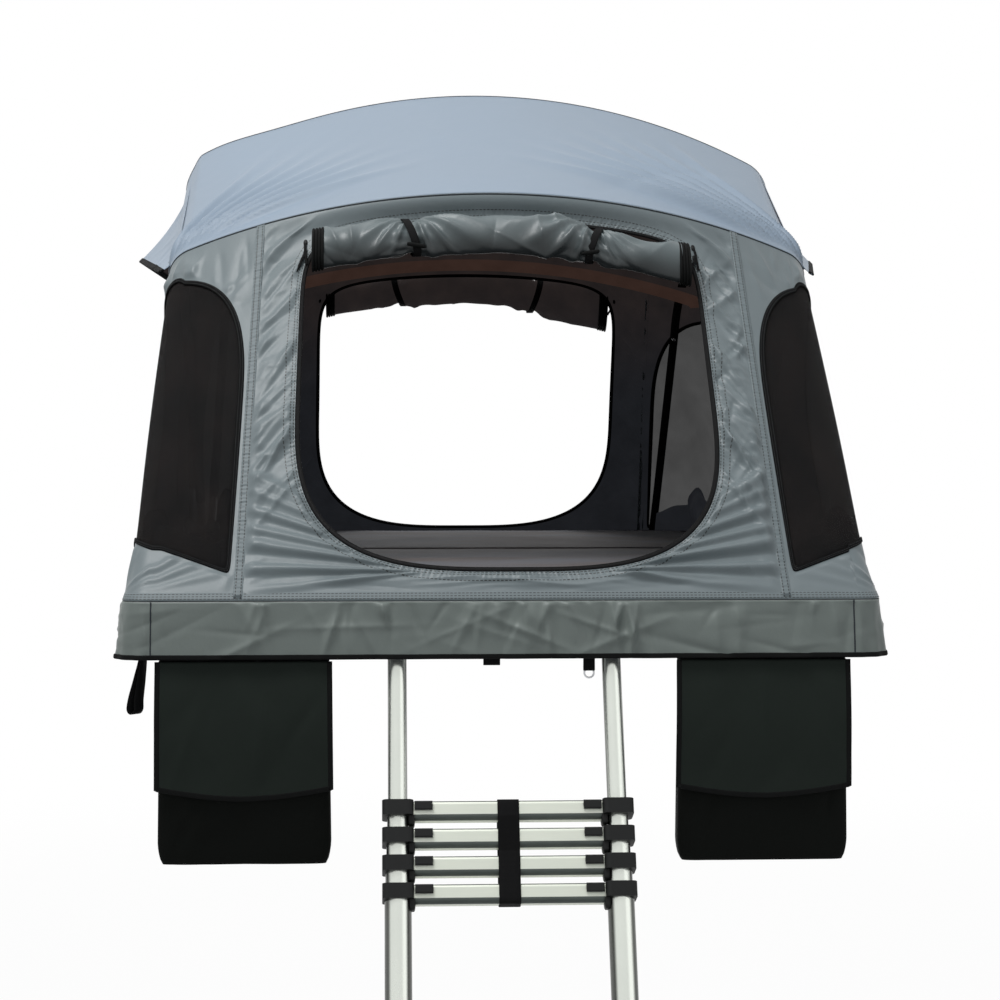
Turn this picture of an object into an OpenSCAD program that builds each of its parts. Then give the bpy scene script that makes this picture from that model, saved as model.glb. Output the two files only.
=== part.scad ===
// Fold-out roof top tent: two hinged base halves, three tube bows, a sewn canopy,
// a telescopic ladder and two shoe bags.
// The front faces -Y. The origin is the centre of the four T-bolts, at the underside of the mounting rails.

/* [Base] */
// Width of the base over its edge frame
base_w = 1420; // [1300:10:1600]
// Length of one base half
half_len = 1200; // [1000:10:1400]
// Height of the edge frame
frame_h = 34; // [28:1:50]
// Width of an edge frame bar
frame_bar = 30; // [24:1:40]
// Radius of the outer corners of the edge frame
frame_corner_r = 45; // [30:1:70]
// Thickness of a floor panel
panel_t = 24; // [12:1:26]
// How deep a floor panel sits in the edge frame
panel_seat = 12; // [6:1:18]
// Gap between the two halves at the fold
fold_gap = 2; // [1:0.5:6]

/* [Mounting] */
// Width of a mounting rail
rail_w = 40; // [34:1:60]
// Height of a mounting rail
rail_h = 25; // [22:1:35]
// Wall of a mounting rail
rail_wall = 3; // [2:0.5:4]
// Width of the slot under a mounting rail
rail_slot = 11; // [11:0.5:14]
// Distance between the two mounting rails
rail_spacing = 860; // [700:10:1000]
// Distance of a rail's end from the end of its base half
rail_inset = 10; // [5:1:20]
// Distance between the T-bolts along a rail
bolt_spacing = 800; // [600:10:850]
// Radius of a T-bolt
stud_r = 4; // [3:0.5:4]
// How far a T-bolt stands below its rail
stud_drop = 45; // [30:1:60]
// Width across a T-bolt's square head
stud_head_w = 20; // [16:1:24]
// Thickness of a T-bolt's head
stud_head_t = 6; // [4:0.5:8]

/* [Hinge] */
// Height of the fold axis above the edge frame
axis_rise = 100; // [90:1:130]
// Thickness of a hinge plate
plate_t = 4; // [3:0.5:5]
// Distance of the outer hinge plate from the edge of the base
plate_inset = 10; // [8:0.5:14]
// Radius of the rounded top of a hinge plate
plate_r = 22; // [18:1:28]
// Length of a hinge plate's foot
foot_len = 90; // [60:1:120]
// Width of a hinge plate's foot
foot_w = 22; // [16:1:26]
// Radius of a pivot bolt
pivot_r = 5; // [4:0.5:7]
// Radius of a pivot bolt's head
pivot_head_r = 9; // [8:0.5:11]
// Height of a pivot bolt's head
pivot_head_t = 5; // [3:0.5:6]
// Thickness of a pivot nut
pivot_nut_t = 8; // [6:0.5:10]
// Running clearance round a pin
pin_gap = 0.1; // [0.05:0.05:0.3]
// Gap between parts that turn beside each other
side_gap = 0.8; // [0.6:0.1:2]

/* [Bows] */
// Radius of a bow tube
tube_r = 9.5; // [8:0.5:11]
// Gap between nested bow tubes when the tent is shut
nest_gap = 2.5; // [2:0.5:5]
// Height of the ridge bow's crown above the fold axis
ridge_r = 1015; // [900:5:1050]
// Radius of a bow's crown arch
crown_arc_r = 1400; // [1200:10:2000]
// Radius of a bow's shoulder bends
shoulder_r = 70; // [50:5:120]
// Angle of the front and rear bows above the base
bow_angle = 46; // [38:1:52]
// Radius of a bow's end eye
eye_r = 14; // [12:0.5:18]
// Length of a sleeve that joins two lengths of bow tube
sleeve_l = 16; // [12:1:18]

/* [Canopy] */
// Thickness of the canopy cloth as modelled
cloth_t = 2; // [1.5:0.5:3]
// Gap between the cloth and what carries it
cloth_gap = 0.6; // [0.4:0.1:1.5]
// Stand-off of the cloth from a bow tube
sleeve_gap = 2.75; // [2.5:0.25:3.5]
// How far the walls draw in above the base
wall_pinch = 10; // [0:1:20]
// Distance of the front wall seams from the middle
seam_x = 522; // [460:1:560]

/* [Doors] */
// Half width of a doorway
door_half_w = 418; // [340:1:450]
// Height of a door's sill above the base seam, as a share of the wall
door_low = 0.065; // [0.04:0.005:0.15]
// Height of a door's top, as a share of the wall
door_high = 0.93; // [0.85:0.005:0.95]
// Roundness of the lower door corners
door_low_n = 3.2; // [2.4:0.1:6]
// Roundness of the upper door corners
door_high_n = 9; // [5:0.5:12]
// Half height of a rolled door
roll_a = 44; // [30:1:50]
// Half thickness of a rolled door
roll_b = 27; // [18:1:32]

/* [Windows] */
// Distance of a corner window's inner edge from the middle
window_x = 545; // [530:1:580]
// Share of the side wall that a corner window reaches along
window_side = 0.31; // [0.15:0.01:0.45]
// Height of a corner window's sill, as a share of the wall
window_low = 0.07; // [0.05:0.005:0.15]
// Height of a corner window's top, as a share of the wall
window_high = 0.9; // [0.8:0.01:0.94]
// Rise of the window sill at the tent's corner, as a share of the wall
window_lift = 0.09; // [0:0.01:0.15]
// Roundness of the upper window corners
window_high_n = 3; // [2.4:0.1:6]
// Roundness of the lower window corners
window_low_n = 8; // [4:0.5:12]
// Thickness of the window net as modelled
net_t = 1.2; // [1:0.1:2]

/* [Skirt and eaves] */
// Drop of the skirt below the base seam
skirt_drop = 107; // [80:1:130]
// How far the skirt's hem stands out from the base
skirt_flare = 22; // [8:1:40]
// Depth of the skirt's soft folds
skirt_wave = 2.5; // [0:0.5:4]
// Reach of an eave's tip beyond the edge of the base
eave_out = 95; // [50:5:140]
// Height of an eave's tip above the fold axis
eave_rise = 632; // [560:2:700]

/* [Mattress] */
// Thickness of the mattress at its middle
mattress_t = 57; // [40:1:70]
// Gap between the mattress and the edge frame
mattress_gap = 12; // [6:1:40]

/* [Ladder] */
// Distance between the ladder's tubes
ladder_w = 408; // [360:2:440]
// Outer diameter of the ladder's top tubes
ladder_d = 36; // [30:1:38]
// Wall of a ladder tube
ladder_wall = 1.2; // [1:0.1:1.5]
// Sliding gap between nested ladder tubes
ladder_gap = 0.5; // [0.4:0.1:0.8]
// Length of a lower ladder tube
ladder_tube_len = 400; // [360:5:420]
// Lean of the ladder from the vertical
ladder_lean = 24; // [15:1:28]
// Depth of the ladder pivot below the rails' underside
ladder_pivot_drop = 5; // [0:1:10]
// Distance of the ladder pivot behind the front edge
ladder_pivot_back = 40; // [36:1:60]
// Distance from the ladder pivot to the first rung
first_rung = 333; // [325:1:360]
// Step between rungs that are pushed together
rung_step = 52; // [46:1:70]
// Width of a ladder collar
collar_w = 58; // [56:1:64]
// Height of a ladder collar
collar_h = 28; // [24:1:34]
// Height of a rung
rung_h = 36; // [30:1:40]
// Depth of a rung
rung_depth = 34; // [28:1:40]
// Wall of a rung
rung_wall = 2; // [1.5:0.5:3]
// Length of a thumb latch
latch_l = 33; // [26:1:36]
// Travel of a thumb latch
latch_travel = 10; // [6:1:12]
// Thickness of the strap round the rungs
strap_t = 2; // [1:0.5:3]
// Width of the strap round the rungs
strap_w = 40; // [25:1:50]

/* [Shoe bags] */
// Width of a shoe bag
bag_w = 330; // [280:5:340]
// Distance of a shoe bag's middle from the edge of the base
bag_inset = 217; // [205:1:230]
// Depth of a shoe bag
bag_d = 60; // [40:1:70]
// Height of a shoe bag
bag_h = 384; // [330:2:420]
// Wall of a shoe bag as modelled
bag_wall = 3; // [2:0.5:4]
// Height of a shoe bag's mouth
mouth_h = 60; // [50:1:90]
// Drop of a bag flap at its sides
flap_drop = 242; // [200:2:270]
// Extra drop of a bag flap in the middle
flap_belly = 20; // [0:1:30]
// Thickness of a bag flap as modelled
flap_t = 4; // [3:0.5:5]

/* [Hidden] */
$fn = 48;
touch_gap = 0.3;
sections = 5;
half_w = base_w / 2;
y_fold = -half_len / 2;
frame_z = rail_h;
frame_top = frame_z + frame_h;
panel_z = frame_z + (frame_h - panel_t) / 2;
floor_z = panel_z + panel_t;
seam_z = frame_top + cloth_gap;
axis_z = frame_top + axis_rise;
rail_len = half_len - 2 * rail_inset;
hem_z = seam_z - skirt_drop;
front_y = y_fold - half_len;

rear_plate_x = half_w - plate_inset - plate_t;
front_plate_x = rear_plate_x - side_gap - plate_t;
nest_step = 2 * tube_r + nest_gap;
ridge_x = front_plate_x - side_gap - tube_r;
// A bow is its angle from the front, its arm's distance from the middle and its crown's from the axis
front_bow_size = [bow_angle, ridge_x - nest_step, ridge_r - nest_step];
ridge_bow_size = [90, ridge_x, ridge_r];
rear_bow_size = [180 - bow_angle, ridge_x - 2 * nest_step, ridge_r - 2 * nest_step];

// Shares of a cloth panel's run from the middle to the hub: crown, shoulder bend, arm
crown_share = 0.4;
shoulder_share = 0.62;
corner_mid = (crown_share + shoulder_share) / 2;
cloth_off = tube_r + sleeve_gap;
sleeve_wall = 0.8;
sleeve_r = tube_r + sleeve_wall;
base_x = half_w + cloth_gap;
base_d = half_len + cloth_gap;
base_r = frame_corner_r + cloth_gap;
hub_x = half_w;
hub_r = 8;
eave_reach = half_w + eave_out;
eave_hem_out = 22;
eave_sag = 6;
seam_split = 0.0015;
seam_p = crown_share * seam_x / (base_x - base_r);
door_p = crown_share * door_half_w / (base_x - base_r);
window_p = crown_share * window_x / (base_x - base_r);
window_end_p = shoulder_share + (1 - shoulder_share) * window_side;
tent_middle = [0, y_fold, axis_z + axis_rise * 1.5];

ladder_y = front_y + ladder_pivot_back;
ladder_z = -ladder_pivot_drop;
ladder_step = 2 * (ladder_wall + ladder_gap);
tube_head = 12;
tube_overlap = 60;
collar_top = 8;
pin_r = 5;
pin_len = 54;
ear_t = 3;
ear_gap = 2;
ear_r = 14;
bracket_t = 3;
bracket_l = 62;
rung_round = 8;
latch_h = 17;
latch_t = 6;
latch_stem_h = 6;
latch_stem_l = 12;
latch_stem_d = 5;
foot_cap_h = 30;
foot_cap_wall = 3;
foot_seat = 15;

bag_x = half_w - bag_inset;
bag_top = hem_z - 6;
bag_front = front_y - 8;
web_y = front_y + 20;
web_t = 3;
loop_x = half_w - 22;
loop_w = 9;
loop_depth = 20;
loop_wall = 2.75;
loop_drop = 100;
tab_x = -24;
tab_w = 32;
tab_drop = 9;
ring_strap_x = 162;
ring_strap_w = 22;
ring_strap_drop = 22;
ring_r = 9;
ring_wire_r = 1.75;
webbing_t = 2;

canopy_colour = "#7d8a8d";
roof_colour = "#93a0ab";
net_colour = "#1c1d1e";
trim_colour = "#17191a";
alloy_colour = "#d6d8d6";
panel_colour = "#b9bcbd";
foam_colour = "#4a4849";

function lerp(a, b, t) = a + (b - a) * t;
function side_of(p) = p < 0 ? -1 : 1;
function unit(v) = v / norm(v);

// Radius of a bow's crown arch: the arches share one centre when the tent is shut
function bow_arc(bow) = crown_arc_r - ridge_r + bow[2];

// One half of a bow's outline in its own plane at share q of its run: distance from the middle and the axis
function bow_outline(bow, q) =
    let (
        x = bow[1] + cloth_off,
        r = bow[2] + cloth_off,
        bend = shoulder_r + cloth_off,
        arc = bow_arc(bow) + cloth_off,
        turn = asin((x - bend) / (arc - bend)),
        arm_r = r - arc + (arc - bend) * cos(turn),
        crown = turn * q / crown_share,
        round = lerp(turn, 90, (q - crown_share) / (shoulder_share - crown_share)),
        arm = (q - shoulder_share) / (1 - shoulder_share)
    )
    q < crown_share ? [arc * sin(crown), r - arc + arc * cos(crown)]
    : q < shoulder_share ? [x - bend + bend * sin(round), arm_r + bend * cos(round)]
    : [lerp(x, hub_x, arm), lerp(arm_r, hub_r, arm)];

// The cloth over a bow, as a point in the tent's frame
function bow_point(bow, p) =
    let (o = bow_outline(bow, abs(p)))
    [side_of(p) * o[0], y_fold - o[1] * cos(bow[0]), axis_z + o[1] * sin(bow[0])];

// One half of the base's outline at share q of its run: distance from the middle and the fold, and which way
// is outwards
function base_outline(q) =
    let (
        round = 90 * (q - crown_share) / (shoulder_share - crown_share),
        arm = (q - shoulder_share) / (1 - shoulder_share)
    )
    q < crown_share ? [(base_x - base_r) * q / crown_share, base_d, 0, 1]
    : q < shoulder_share
        ? [base_x - base_r * (1 - sin(round)), base_d - base_r * (1 - cos(round)), sin(round), cos(round)]
    : [base_x, lerp(base_d - base_r, fold_gap / 2, arm), 1, 0];

function pinch_share(v) = v / 0.17 * exp(1 - v / 0.17);

// End wall and side triangle in one run: straight lines from the base's edge to a bow, drawn in above the base
function wall_point(bow, dir, p, v) =
    let (
        b = base_outline(abs(p)),
        low = [side_of(p) * b[0], y_fold + dir * b[1], seam_z],
        fade = min(1, (1 - abs(p)) / (1 - shoulder_share)),
        draw = wall_pinch * fade * pinch_share(v) * (1 - v)
    )
    lerp(low, bow_point(bow, p), v) - draw * [side_of(p) * b[2], dir * b[3], 0];

function front_point(p, v) = wall_point(front_bow_size, -1, p, v);
function rear_point(p, v) = wall_point(rear_bow_size, 1, p, v);
function front_roof_point(p, v) = lerp(bow_point(front_bow_size, p), bow_point(ridge_bow_size, p), v);
function rear_roof_point(p, v) = lerp(bow_point(rear_bow_size, p), bow_point(ridge_bow_size, p), v);

// Outward direction of a cloth surface, found from points close by
function outward(sheet_at, u, v, middle, e = 0.004) =
    let (n = unit(cross(sheet_at(u + e, v) - sheet_at(u - e, v), sheet_at(u, v + e) - sheet_at(u, v - e))))
    n * (sheet_at(u, v) - middle) < 0 ? -n : n;

// Triangles of a grid of rows and columns; around joins the last column to the first
function grid_faces(rows, cols, start, around) = [
    for (i = [0:rows - 2], k = [0:(around ? cols - 1 : cols - 2)])
        let (a = start + i * cols + k, b = start + i * cols + (k + 1) % cols)
        each [[a, b, a + cols], [b, b + cols, a + cols]]
];

function flipped(faces) = [for (f = faces) [f[2], f[1], f[0]]];

// The rim of a grid between its inner and outer copies, taken along a closed or open run of point numbers
function rim_faces(run, shift, around) = [
    for (k = [0:(around ? len(run) - 1 : len(run) - 2)])
        let (a = run[k], b = run[(k + 1) % len(run)])
        each [[a, a + shift, b], [b, a + shift, b + shift]]
];

// A cloth panel of even thickness over a grid of places on its surface, the thickness standing outwards
module cloth_panel(sheet_at, grid, thickness, middle, around = false) {
    rows = len(grid);
    cols = len(grid[0]);
    shift = rows * cols;
    inner = [for (row = grid, g = row) sheet_at(g[0], g[1])];
    outer = [for (row = grid, g = row)
        sheet_at(g[0], g[1]) + thickness * outward(sheet_at, g[0], g[1], middle)];
    mid_row = floor(rows / 2) - 1;
    probe = max(0, mid_row) * cols;
    turn = cross(inner[probe + 1] - inner[probe], inner[probe + cols] - inner[probe]);
    outside = grid_faces(rows, cols, shift, around);
    inside = flipped(grid_faces(rows, cols, 0, around));
    first = [for (k = [0:cols - 1]) k];
    last = [for (k = [0:cols - 1]) (rows - 1) * cols + cols - 1 - k];
    left = [for (i = [0:rows - 1]) (rows - 1 - i) * cols];
    right = [for (i = [0:rows - 1]) i * cols + cols - 1];
    rim = around
        ? concat(rim_faces(first, shift, true), rim_faces(last, shift, true))
        : rim_faces(concat(first, [for (i = [1:rows - 1]) right[i]], [for (k = [1:cols - 1]) last[k]],
            [for (i = [1:rows - 2]) left[i]]), shift, true);
    faces = concat(outside, inside, flipped(rim));
    facing = turn * (outer[probe] - inner[probe]);
    polyhedron(concat(inner, outer), facing > 0 ? flipped(faces) : faces);
}

function open_grid(us, vs) = [for (v = vs) [for (u = us) [u, v]]];

// Points round a square from -1 to 1, n to a side
function square_ring(n) = [
    for (s = [0:3], i = [0:n - 1])
        let (t = -1 + 2 * i / n)
        s == 0 ? [t, -1] : s == 1 ? [1, t] : s == 2 ? [-t, 1] : [-1, -t]
];

// How far along the way to a point on the square a rounded opening's edge lies.
// An opening is its reach left, right, down and up as shares of the panel, and its lower and upper roundness.
function edge_share(o, opening) =
    let (
        a = o[0] < 0 ? opening[0] : opening[1],
        b = o[1] < 0 ? opening[2] : opening[3],
        n = o[1] < 0 ? opening[4] : opening[5]
    )
    pow(pow(abs(o[0]) / a, n) + pow(abs(o[1]) / b, n), -1 / n);

// A panel is its first, middle and last place along the run and up the wall
function panel_place(o, panel) = [
    o[0] < 0 ? lerp(panel[1], panel[0], -o[0]) : lerp(panel[1], panel[2], o[0]),
    o[1] < 0 ? lerp(panel[4], panel[3], -o[1]) : lerp(panel[4], panel[5], o[1])
];

function ring_grid(n, rows, panel, opening) = [
    for (j = [0:rows])
        [for (o = square_ring(n)) panel_place(o * lerp(edge_share(o, opening), 1, j / rows), panel)]
];

function disc_grid(cols, rows, panel, opening, shrink) = [
    for (j = [0:rows])
        [for (i = [0:cols])
            let (
                o = [-1 + 2 * i / cols, -1 + 2 * j / rows],
                m = max(abs(o[0]), abs(o[1]))
            )
            panel_place(m == 0 ? o : o * edge_share(o / m, opening) * shrink, panel)]
];

wall_top = 1 - seam_split;
door_panel = [-seam_p + seam_split, 0, seam_p - seam_split, 0, 0.5, wall_top];
door_opening = [door_p / seam_p, door_p / seam_p, (0.5 - door_low) / 0.5, (door_high - 0.5) / 0.5, door_low_n,
    door_high_n];
corner_panel = [seam_p + seam_split, corner_mid, 1, 0, 0.5, wall_top];
window_opening = [(corner_mid - window_p) / (corner_mid - seam_p),
    (window_end_p - corner_mid) / (1 - corner_mid), (0.5 - window_low) / 0.5, (window_high - 0.5) / 0.5,
    window_low_n, window_high_n];

// The window sill rises to a peak at the tent's corner
function lifted(g) =
    let (
        reach = g[0] < corner_mid ? corner_mid - window_p : window_end_p - corner_mid,
        peak = max(0, 1 - abs(g[0] - corner_mid) / reach)
    )
    [g[0], g[1] + window_lift * peak * min(1, g[1] / window_low) * pow(1 - g[1], 2)];

function corner_grid(grid, s) = [for (row = grid) [for (g = row) let (w = lifted(g)) [s * w[0], w[1]]]];

module end_wall(sheet_at) {
    cloth_panel(sheet_at, ring_grid(12, 3, door_panel, door_opening), cloth_t, tent_middle, true);
}

module corner_walls(sheet_at) {
    grid = ring_grid(12, 3, corner_panel, window_opening);
    for (s = [-1, 1]) cloth_panel(sheet_at, corner_grid(grid, s), cloth_t, tent_middle, true);
}

module corner_windows(sheet_at) {
    grid = disc_grid(12, 12, corner_panel, window_opening, 0.996);
    for (s = [-1, 1]) cloth_panel(sheet_at, corner_grid(grid, s), net_t, tent_middle);
}

module roof_panel(sheet_at) {
    half = concat(
        [for (i = [0:11]) crown_share * i / 12],
        [for (i = [0:5]) lerp(crown_share, shoulder_share, i / 6)],
        [for (i = [0:3]) lerp(shoulder_share, 1, i / 3)]
    );
    run = concat([for (i = [len(half) - 1:-1:1]) -half[i]], half);
    cloth_panel(sheet_at, open_grid(run, [seam_split, 0.5, wall_top]), cloth_t, tent_middle);
}

// A closed form through rings of points, each end capped by a fan
module loft(rings) {
    rows = len(rings);
    cols = len(rings[0]);
    points = [for (ring = rings, p = ring) p];
    ends = [for (ring = [rings[0], rings[rows - 1]])
        [for (axis = [0:2]) [for (p = ring) p[axis]] * [for (p = ring) 1] / cols]];
    sides = grid_faces(rows, cols, 0, true);
    caps = [for (k = [0:cols - 1]) let (n = (k + 1) % cols, t = (rows - 1) * cols)
        each [[rows * cols, n, k], [rows * cols + 1, t + k, t + n]]];
    polyhedron(concat(points, ends), flipped(concat(sides, caps)));
}

// The rolled door hangs under the arch: an oval bundle, drawn in at its two ties and at its ends
module door_roll(sheet_at, dir) {
    rings = 22;
    sides = 10;
    reach = door_p * 0.95;
    stand = roll_b * 0.84 + cloth_t + touch_gap;
    loft([
        for (i = [0:rings])
            let (
                t = -1 + 2 * i / rings,
                slope = sheet_at(t * reach, 0.6) - sheet_at(t * reach, door_high),
                down_dir = unit([0, slope[1], slope[2]]),
                out_dir = dir * [0, -down_dir[2], down_dir[1]],
                at = sheet_at(t * reach, door_high) + down_dir * (roll_a * 0.75) + out_dir * stand,
                tie = 1 - 0.12 * exp(-pow((abs(t) - 0.48) / 0.06, 2)) - 0.16 * pow(abs(t), 6)
            )
            [for (k = [0:sides - 1])
                let (w = -dir * 360 * k / sides)
                at + down_dir * (roll_a * tie * cos(w)) + out_dir * (roll_b * tie * sin(w))]
    ]);
}

// A side eave runs from the roof's edge out to a tip over the fold
function eave_point(s, u, v) =
    let (
        bow = u < 0 ? front_bow_size : rear_bow_size,
        p = s * (corner_mid - 0.02),
        top = bow_point(ridge_bow_size, p),
        root = lerp(top, bow_point(bow, p), abs(u) * 0.92) + [s, 0, 1] * (cloth_t * 1.1),
        tip = [s * eave_reach, y_fold, axis_z + eave_rise],
        hem = lerp(tip, bow_point(bow, s * (corner_mid + 0.08)) + [s * eave_hem_out, 0, 0], pow(abs(u), 1.1))
    )
    lerp(root, hem, v) - [0, 0, eave_sag * sin(180 * v)];

module side_eaves() {
    color(roof_colour)
    for (s = [-1, 1])
        cloth_panel(function(u, v) eave_point(s, u, v), open_grid([for (i = [-6:6]) i / 6 * 0.98],
            [0, 0.33, 0.67, 1]), cloth_t, tent_middle);
}

// The skirt hangs from the base's edge, flares out and falls in soft folds
function skirt_point(dir, p, v) =
    let (
        b = base_outline(abs(p)),
        fold = skirt_wave * (1 + sin(abs(p) * 4600 + side_of(p) * 50)) / 2 * v,
        out = skirt_flare * v + fold + cloth_gap,
        z = seam_z - cloth_gap - skirt_drop * v
    )
    [side_of(p) * (b[0] + out * b[2]), y_fold + dir * (b[1] + out * b[3]), z];

module skirt(dir) {
    half = concat(
        [for (i = [0:13]) crown_share * i / 14],
        [for (i = [0:5]) lerp(crown_share, shoulder_share, i / 6)],
        [for (i = [0:10]) lerp(shoulder_share, 1, i / 10)]
    );
    run = concat([for (i = [len(half) - 1:-1:1]) -half[i]], half);
    cloth_panel(function(p, v) skirt_point(dir, p, v), open_grid(run, [0, 0.5, 1]), cloth_t,
        [0, y_fold + dir * half_len / 2, hem_z]);
}

// Outline of one base half, square at the fold and round at its outer corners
module half_outline(inset, r) {
    w = half_w - inset;
    l = half_len - inset;
    start = fold_gap / 2 + inset;
    translate([-w, start]) square([2 * w, l - r - start]);
    translate([-w + r, start]) square([2 * (w - r), l - start]);
    for (s = [-1, 1]) translate([s * (w - r), l - r]) circle(r);
}

module on_half(dir) {
    translate([0, y_fold, 0]) mirror([0, dir < 0 ? 1 : 0, 0]) children();
}

module floor_panel(dir) {
    inset = frame_bar - panel_seat;
    color(panel_colour)
    on_half(dir) translate([0, 0, panel_z]) linear_extrude(panel_t)
        half_outline(inset, frame_corner_r - inset);
}

module floor_frame(dir) {
    inset = frame_bar - panel_seat;
    color(alloy_colour)
    on_half(dir) difference() {
        translate([0, 0, frame_z]) linear_extrude(frame_h) half_outline(0, frame_corner_r);
        translate([0, 0, frame_z - 1]) linear_extrude(frame_h + 2)
            half_outline(frame_bar, max(1, frame_corner_r - frame_bar));
        translate([0, 0, panel_z]) linear_extrude(panel_t) half_outline(inset, frame_corner_r - inset);
        translate([frame_bar - half_w, 0, floor_z]) cube([base_w - 2 * frame_bar, 2 * frame_bar, frame_h]);
    }
}

// Mattress half: full in the middle, rounded at its edges, its sides drawn in between the corners
module mattress(dir) {
    w = half_w - frame_bar - mattress_gap;
    first = fold_gap / 2 + mattress_gap / 3;
    last = half_len - frame_bar - mattress_gap;
    l = (last - first) / 2;
    // Each ring is a share of the thickness and its inset from the edge
    rings = [[0, 14], [0.2, 3], [0.5, 0], [0.75, 5], [0.88, 18], [0.94, 70], [1, 300]];
    n = 12;
    color(foam_colour)
    loft([
        for (ring = rings)
            [for (o = square_ring(n))
                let (
                    g = pow(pow(abs(o[0]), 14) + pow(abs(o[1]), 14), -1 / 14),
                    q = o * g,
                    draw = [8 * (1 - q[1] * q[1]), 5 * (1 - q[0] * q[0])] * ring[0],
                    x = q[0] * (w - ring[1]) - sign(q[0]) * draw[0] * pow(abs(q[0]), 4),
                    y = q[1] * (l - ring[1]) - sign(q[1]) * draw[1] * pow(abs(q[1]), 4)
                )
                [x, y_fold + dir * (first + l) + y, floor_z + touch_gap + ring[0] * (mattress_t - touch_gap)]]
    ]);
}

module mounting_rails() {
    color(alloy_colour)
    for (s = [-1, 1])
        translate([s * rail_spacing / 2 - rail_w / 2, -rail_len / 2, 0])
            difference() {
                cube([rail_w, rail_len, rail_h]);
                translate([rail_wall, -1, rail_wall])
                    cube([rail_w - 2 * rail_wall, rail_len + 2, rail_h - 2 * rail_wall]);
                translate([(rail_w - rail_slot) / 2, -1, -1]) cube([rail_slot, rail_len + 2, rail_wall + 2]);
            }
}

module rail_bolts() {
    color(alloy_colour)
    for (x = [-1, 1], y = [-1, 1])
        translate([x * rail_spacing / 2, y * bolt_spacing / 2, 0]) {
            translate([0, 0, rail_wall + stud_head_t / 2])
                cube([stud_head_w, stud_head_w, stud_head_t], center = true);
            translate([0, 0, -stud_drop]) cylinder(h = stud_drop + rail_wall + 0.5, r = stud_r);
        }
}

// A hinge plate stands on the edge frame beside the fold and carries the pivot bolt
module hinge_plates(dir, x) {
    foot_start = fold_gap / 2 + 4;
    color(alloy_colour)
    for (s = [0, 1]) mirror([s, 0, 0])
        difference() {
            union() {
                translate([x, y_fold, 0]) rotate([90, 0, 90]) linear_extrude(plate_t) {
                    translate([0, axis_z]) circle(plate_r);
                    polygon([
                        [dir * foot_start, frame_top],
                        [dir * (foot_start + foot_len), frame_top],
                        [dir * (foot_start + foot_len), frame_top + plate_t],
                        [dir * plate_r * 0.87, axis_z + plate_r * 0.5],
                        [-dir * plate_r * 0.87, axis_z - plate_r * 0.5]
                    ]);
                }
                translate([x + plate_t - foot_w, y_fold, frame_top]) mirror([0, dir < 0 ? 1 : 0, 0])
                    translate([0, foot_start, 0]) cube([foot_w, foot_len, plate_t]);
            }
            translate([x - 1, y_fold, axis_z]) rotate([0, 90, 0])
                cylinder(h = plate_t + 2, r = pivot_r + pin_gap);
        }
}

module pivot_bolts() {
    inner = ridge_x - 2 * nest_step - tube_r - side_gap - pivot_nut_t;
    color(alloy_colour)
    for (s = [0, 1]) mirror([s, 0, 0])
        translate([0, y_fold, axis_z]) rotate([0, 90, 0]) {
            translate([0, 0, inner]) cylinder(h = rear_plate_x + plate_t - inner, r = pivot_r);
            translate([0, 0, rear_plate_x + plate_t]) cylinder(h = pivot_head_t, r = pivot_head_r);
        }
}

module pivot_nuts() {
    inner = ridge_x - 2 * nest_step - tube_r - side_gap - pivot_nut_t;
    color(alloy_colour)
    for (s = [0, 1]) mirror([s, 0, 0])
        translate([inner, y_fold, axis_z]) rotate([0, 90, 0])
            difference() {
                cylinder(h = pivot_nut_t, r = pivot_head_r, $fn = 6);
                translate([0, 0, -1]) cylinder(h = pivot_nut_t + 2, r = pivot_r + 0.02);
            }
}

// A bow: two straight arms, two shoulder bends and an arched crown, joined by sleeves, with an eye for the
// pivot bolt at each end. The tube lengths stop short of each other inside the sleeves.
module bow(size) {
    x = size[1];
    arc = bow_arc(size);
    turn = asin((x - shoulder_r) / (arc - shoulder_r));
    arm = size[2] - arc + (arc - shoulder_r) * cos(turn);
    stop = 2;
    short = stop / arc * 180 / PI;
    eye_l = 2 * tube_r + side_gap / 2;
    color(alloy_colour)
    translate([0, y_fold, axis_z]) rotate([90 - size[0], 0, 0])
        difference() {
            union() {
                for (s = [0, 1]) mirror([s, 0, 0]) {
                    translate([x, 0, 0]) cylinder(h = arm - stop, r = tube_r);
                    translate([x - shoulder_r, 0, arm]) {
                        rotate([90, 0, 0]) rotate_extrude(angle = 90 - turn, $fn = 120)
                            translate([shoulder_r, 0]) circle(tube_r, $fn = 48);
                        translate([shoulder_r, 0, -sleeve_l / 2]) cylinder(h = sleeve_l, r = sleeve_r);
                        rotate([0, turn - 90, 0]) translate([shoulder_r, 0, -sleeve_l / 2])
                            cylinder(h = sleeve_l, r = sleeve_r);
                    }
                    translate([x - eye_l / 2, 0, 0]) rotate([0, 90, 0]) cylinder(h = eye_l, r = eye_r);
                }
                translate([0, 0, size[2] - arc]) rotate([90, 0, 0]) rotate([0, 0, 90 - turn + short])
                    rotate_extrude(angle = 2 * (turn - short), $fn = 480)
                        translate([arc, 0]) circle(tube_r, $fn = 48);
            }
            for (s = [-1, 1])
                translate([s * x - eye_l, 0, 0]) rotate([0, 90, 0])
                    cylinder(h = 2 * eye_l, r = pivot_r + pin_gap);
        }
}

module on_ladder() {
    translate([0, ladder_y, ladder_z]) rotate([-ladder_lean, 0, 0]) children();
}

function section_d(k) = ladder_d + (k - 1) * ladder_step;
function section_start(k) = first_rung + (k - 2) * rung_step;

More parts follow.
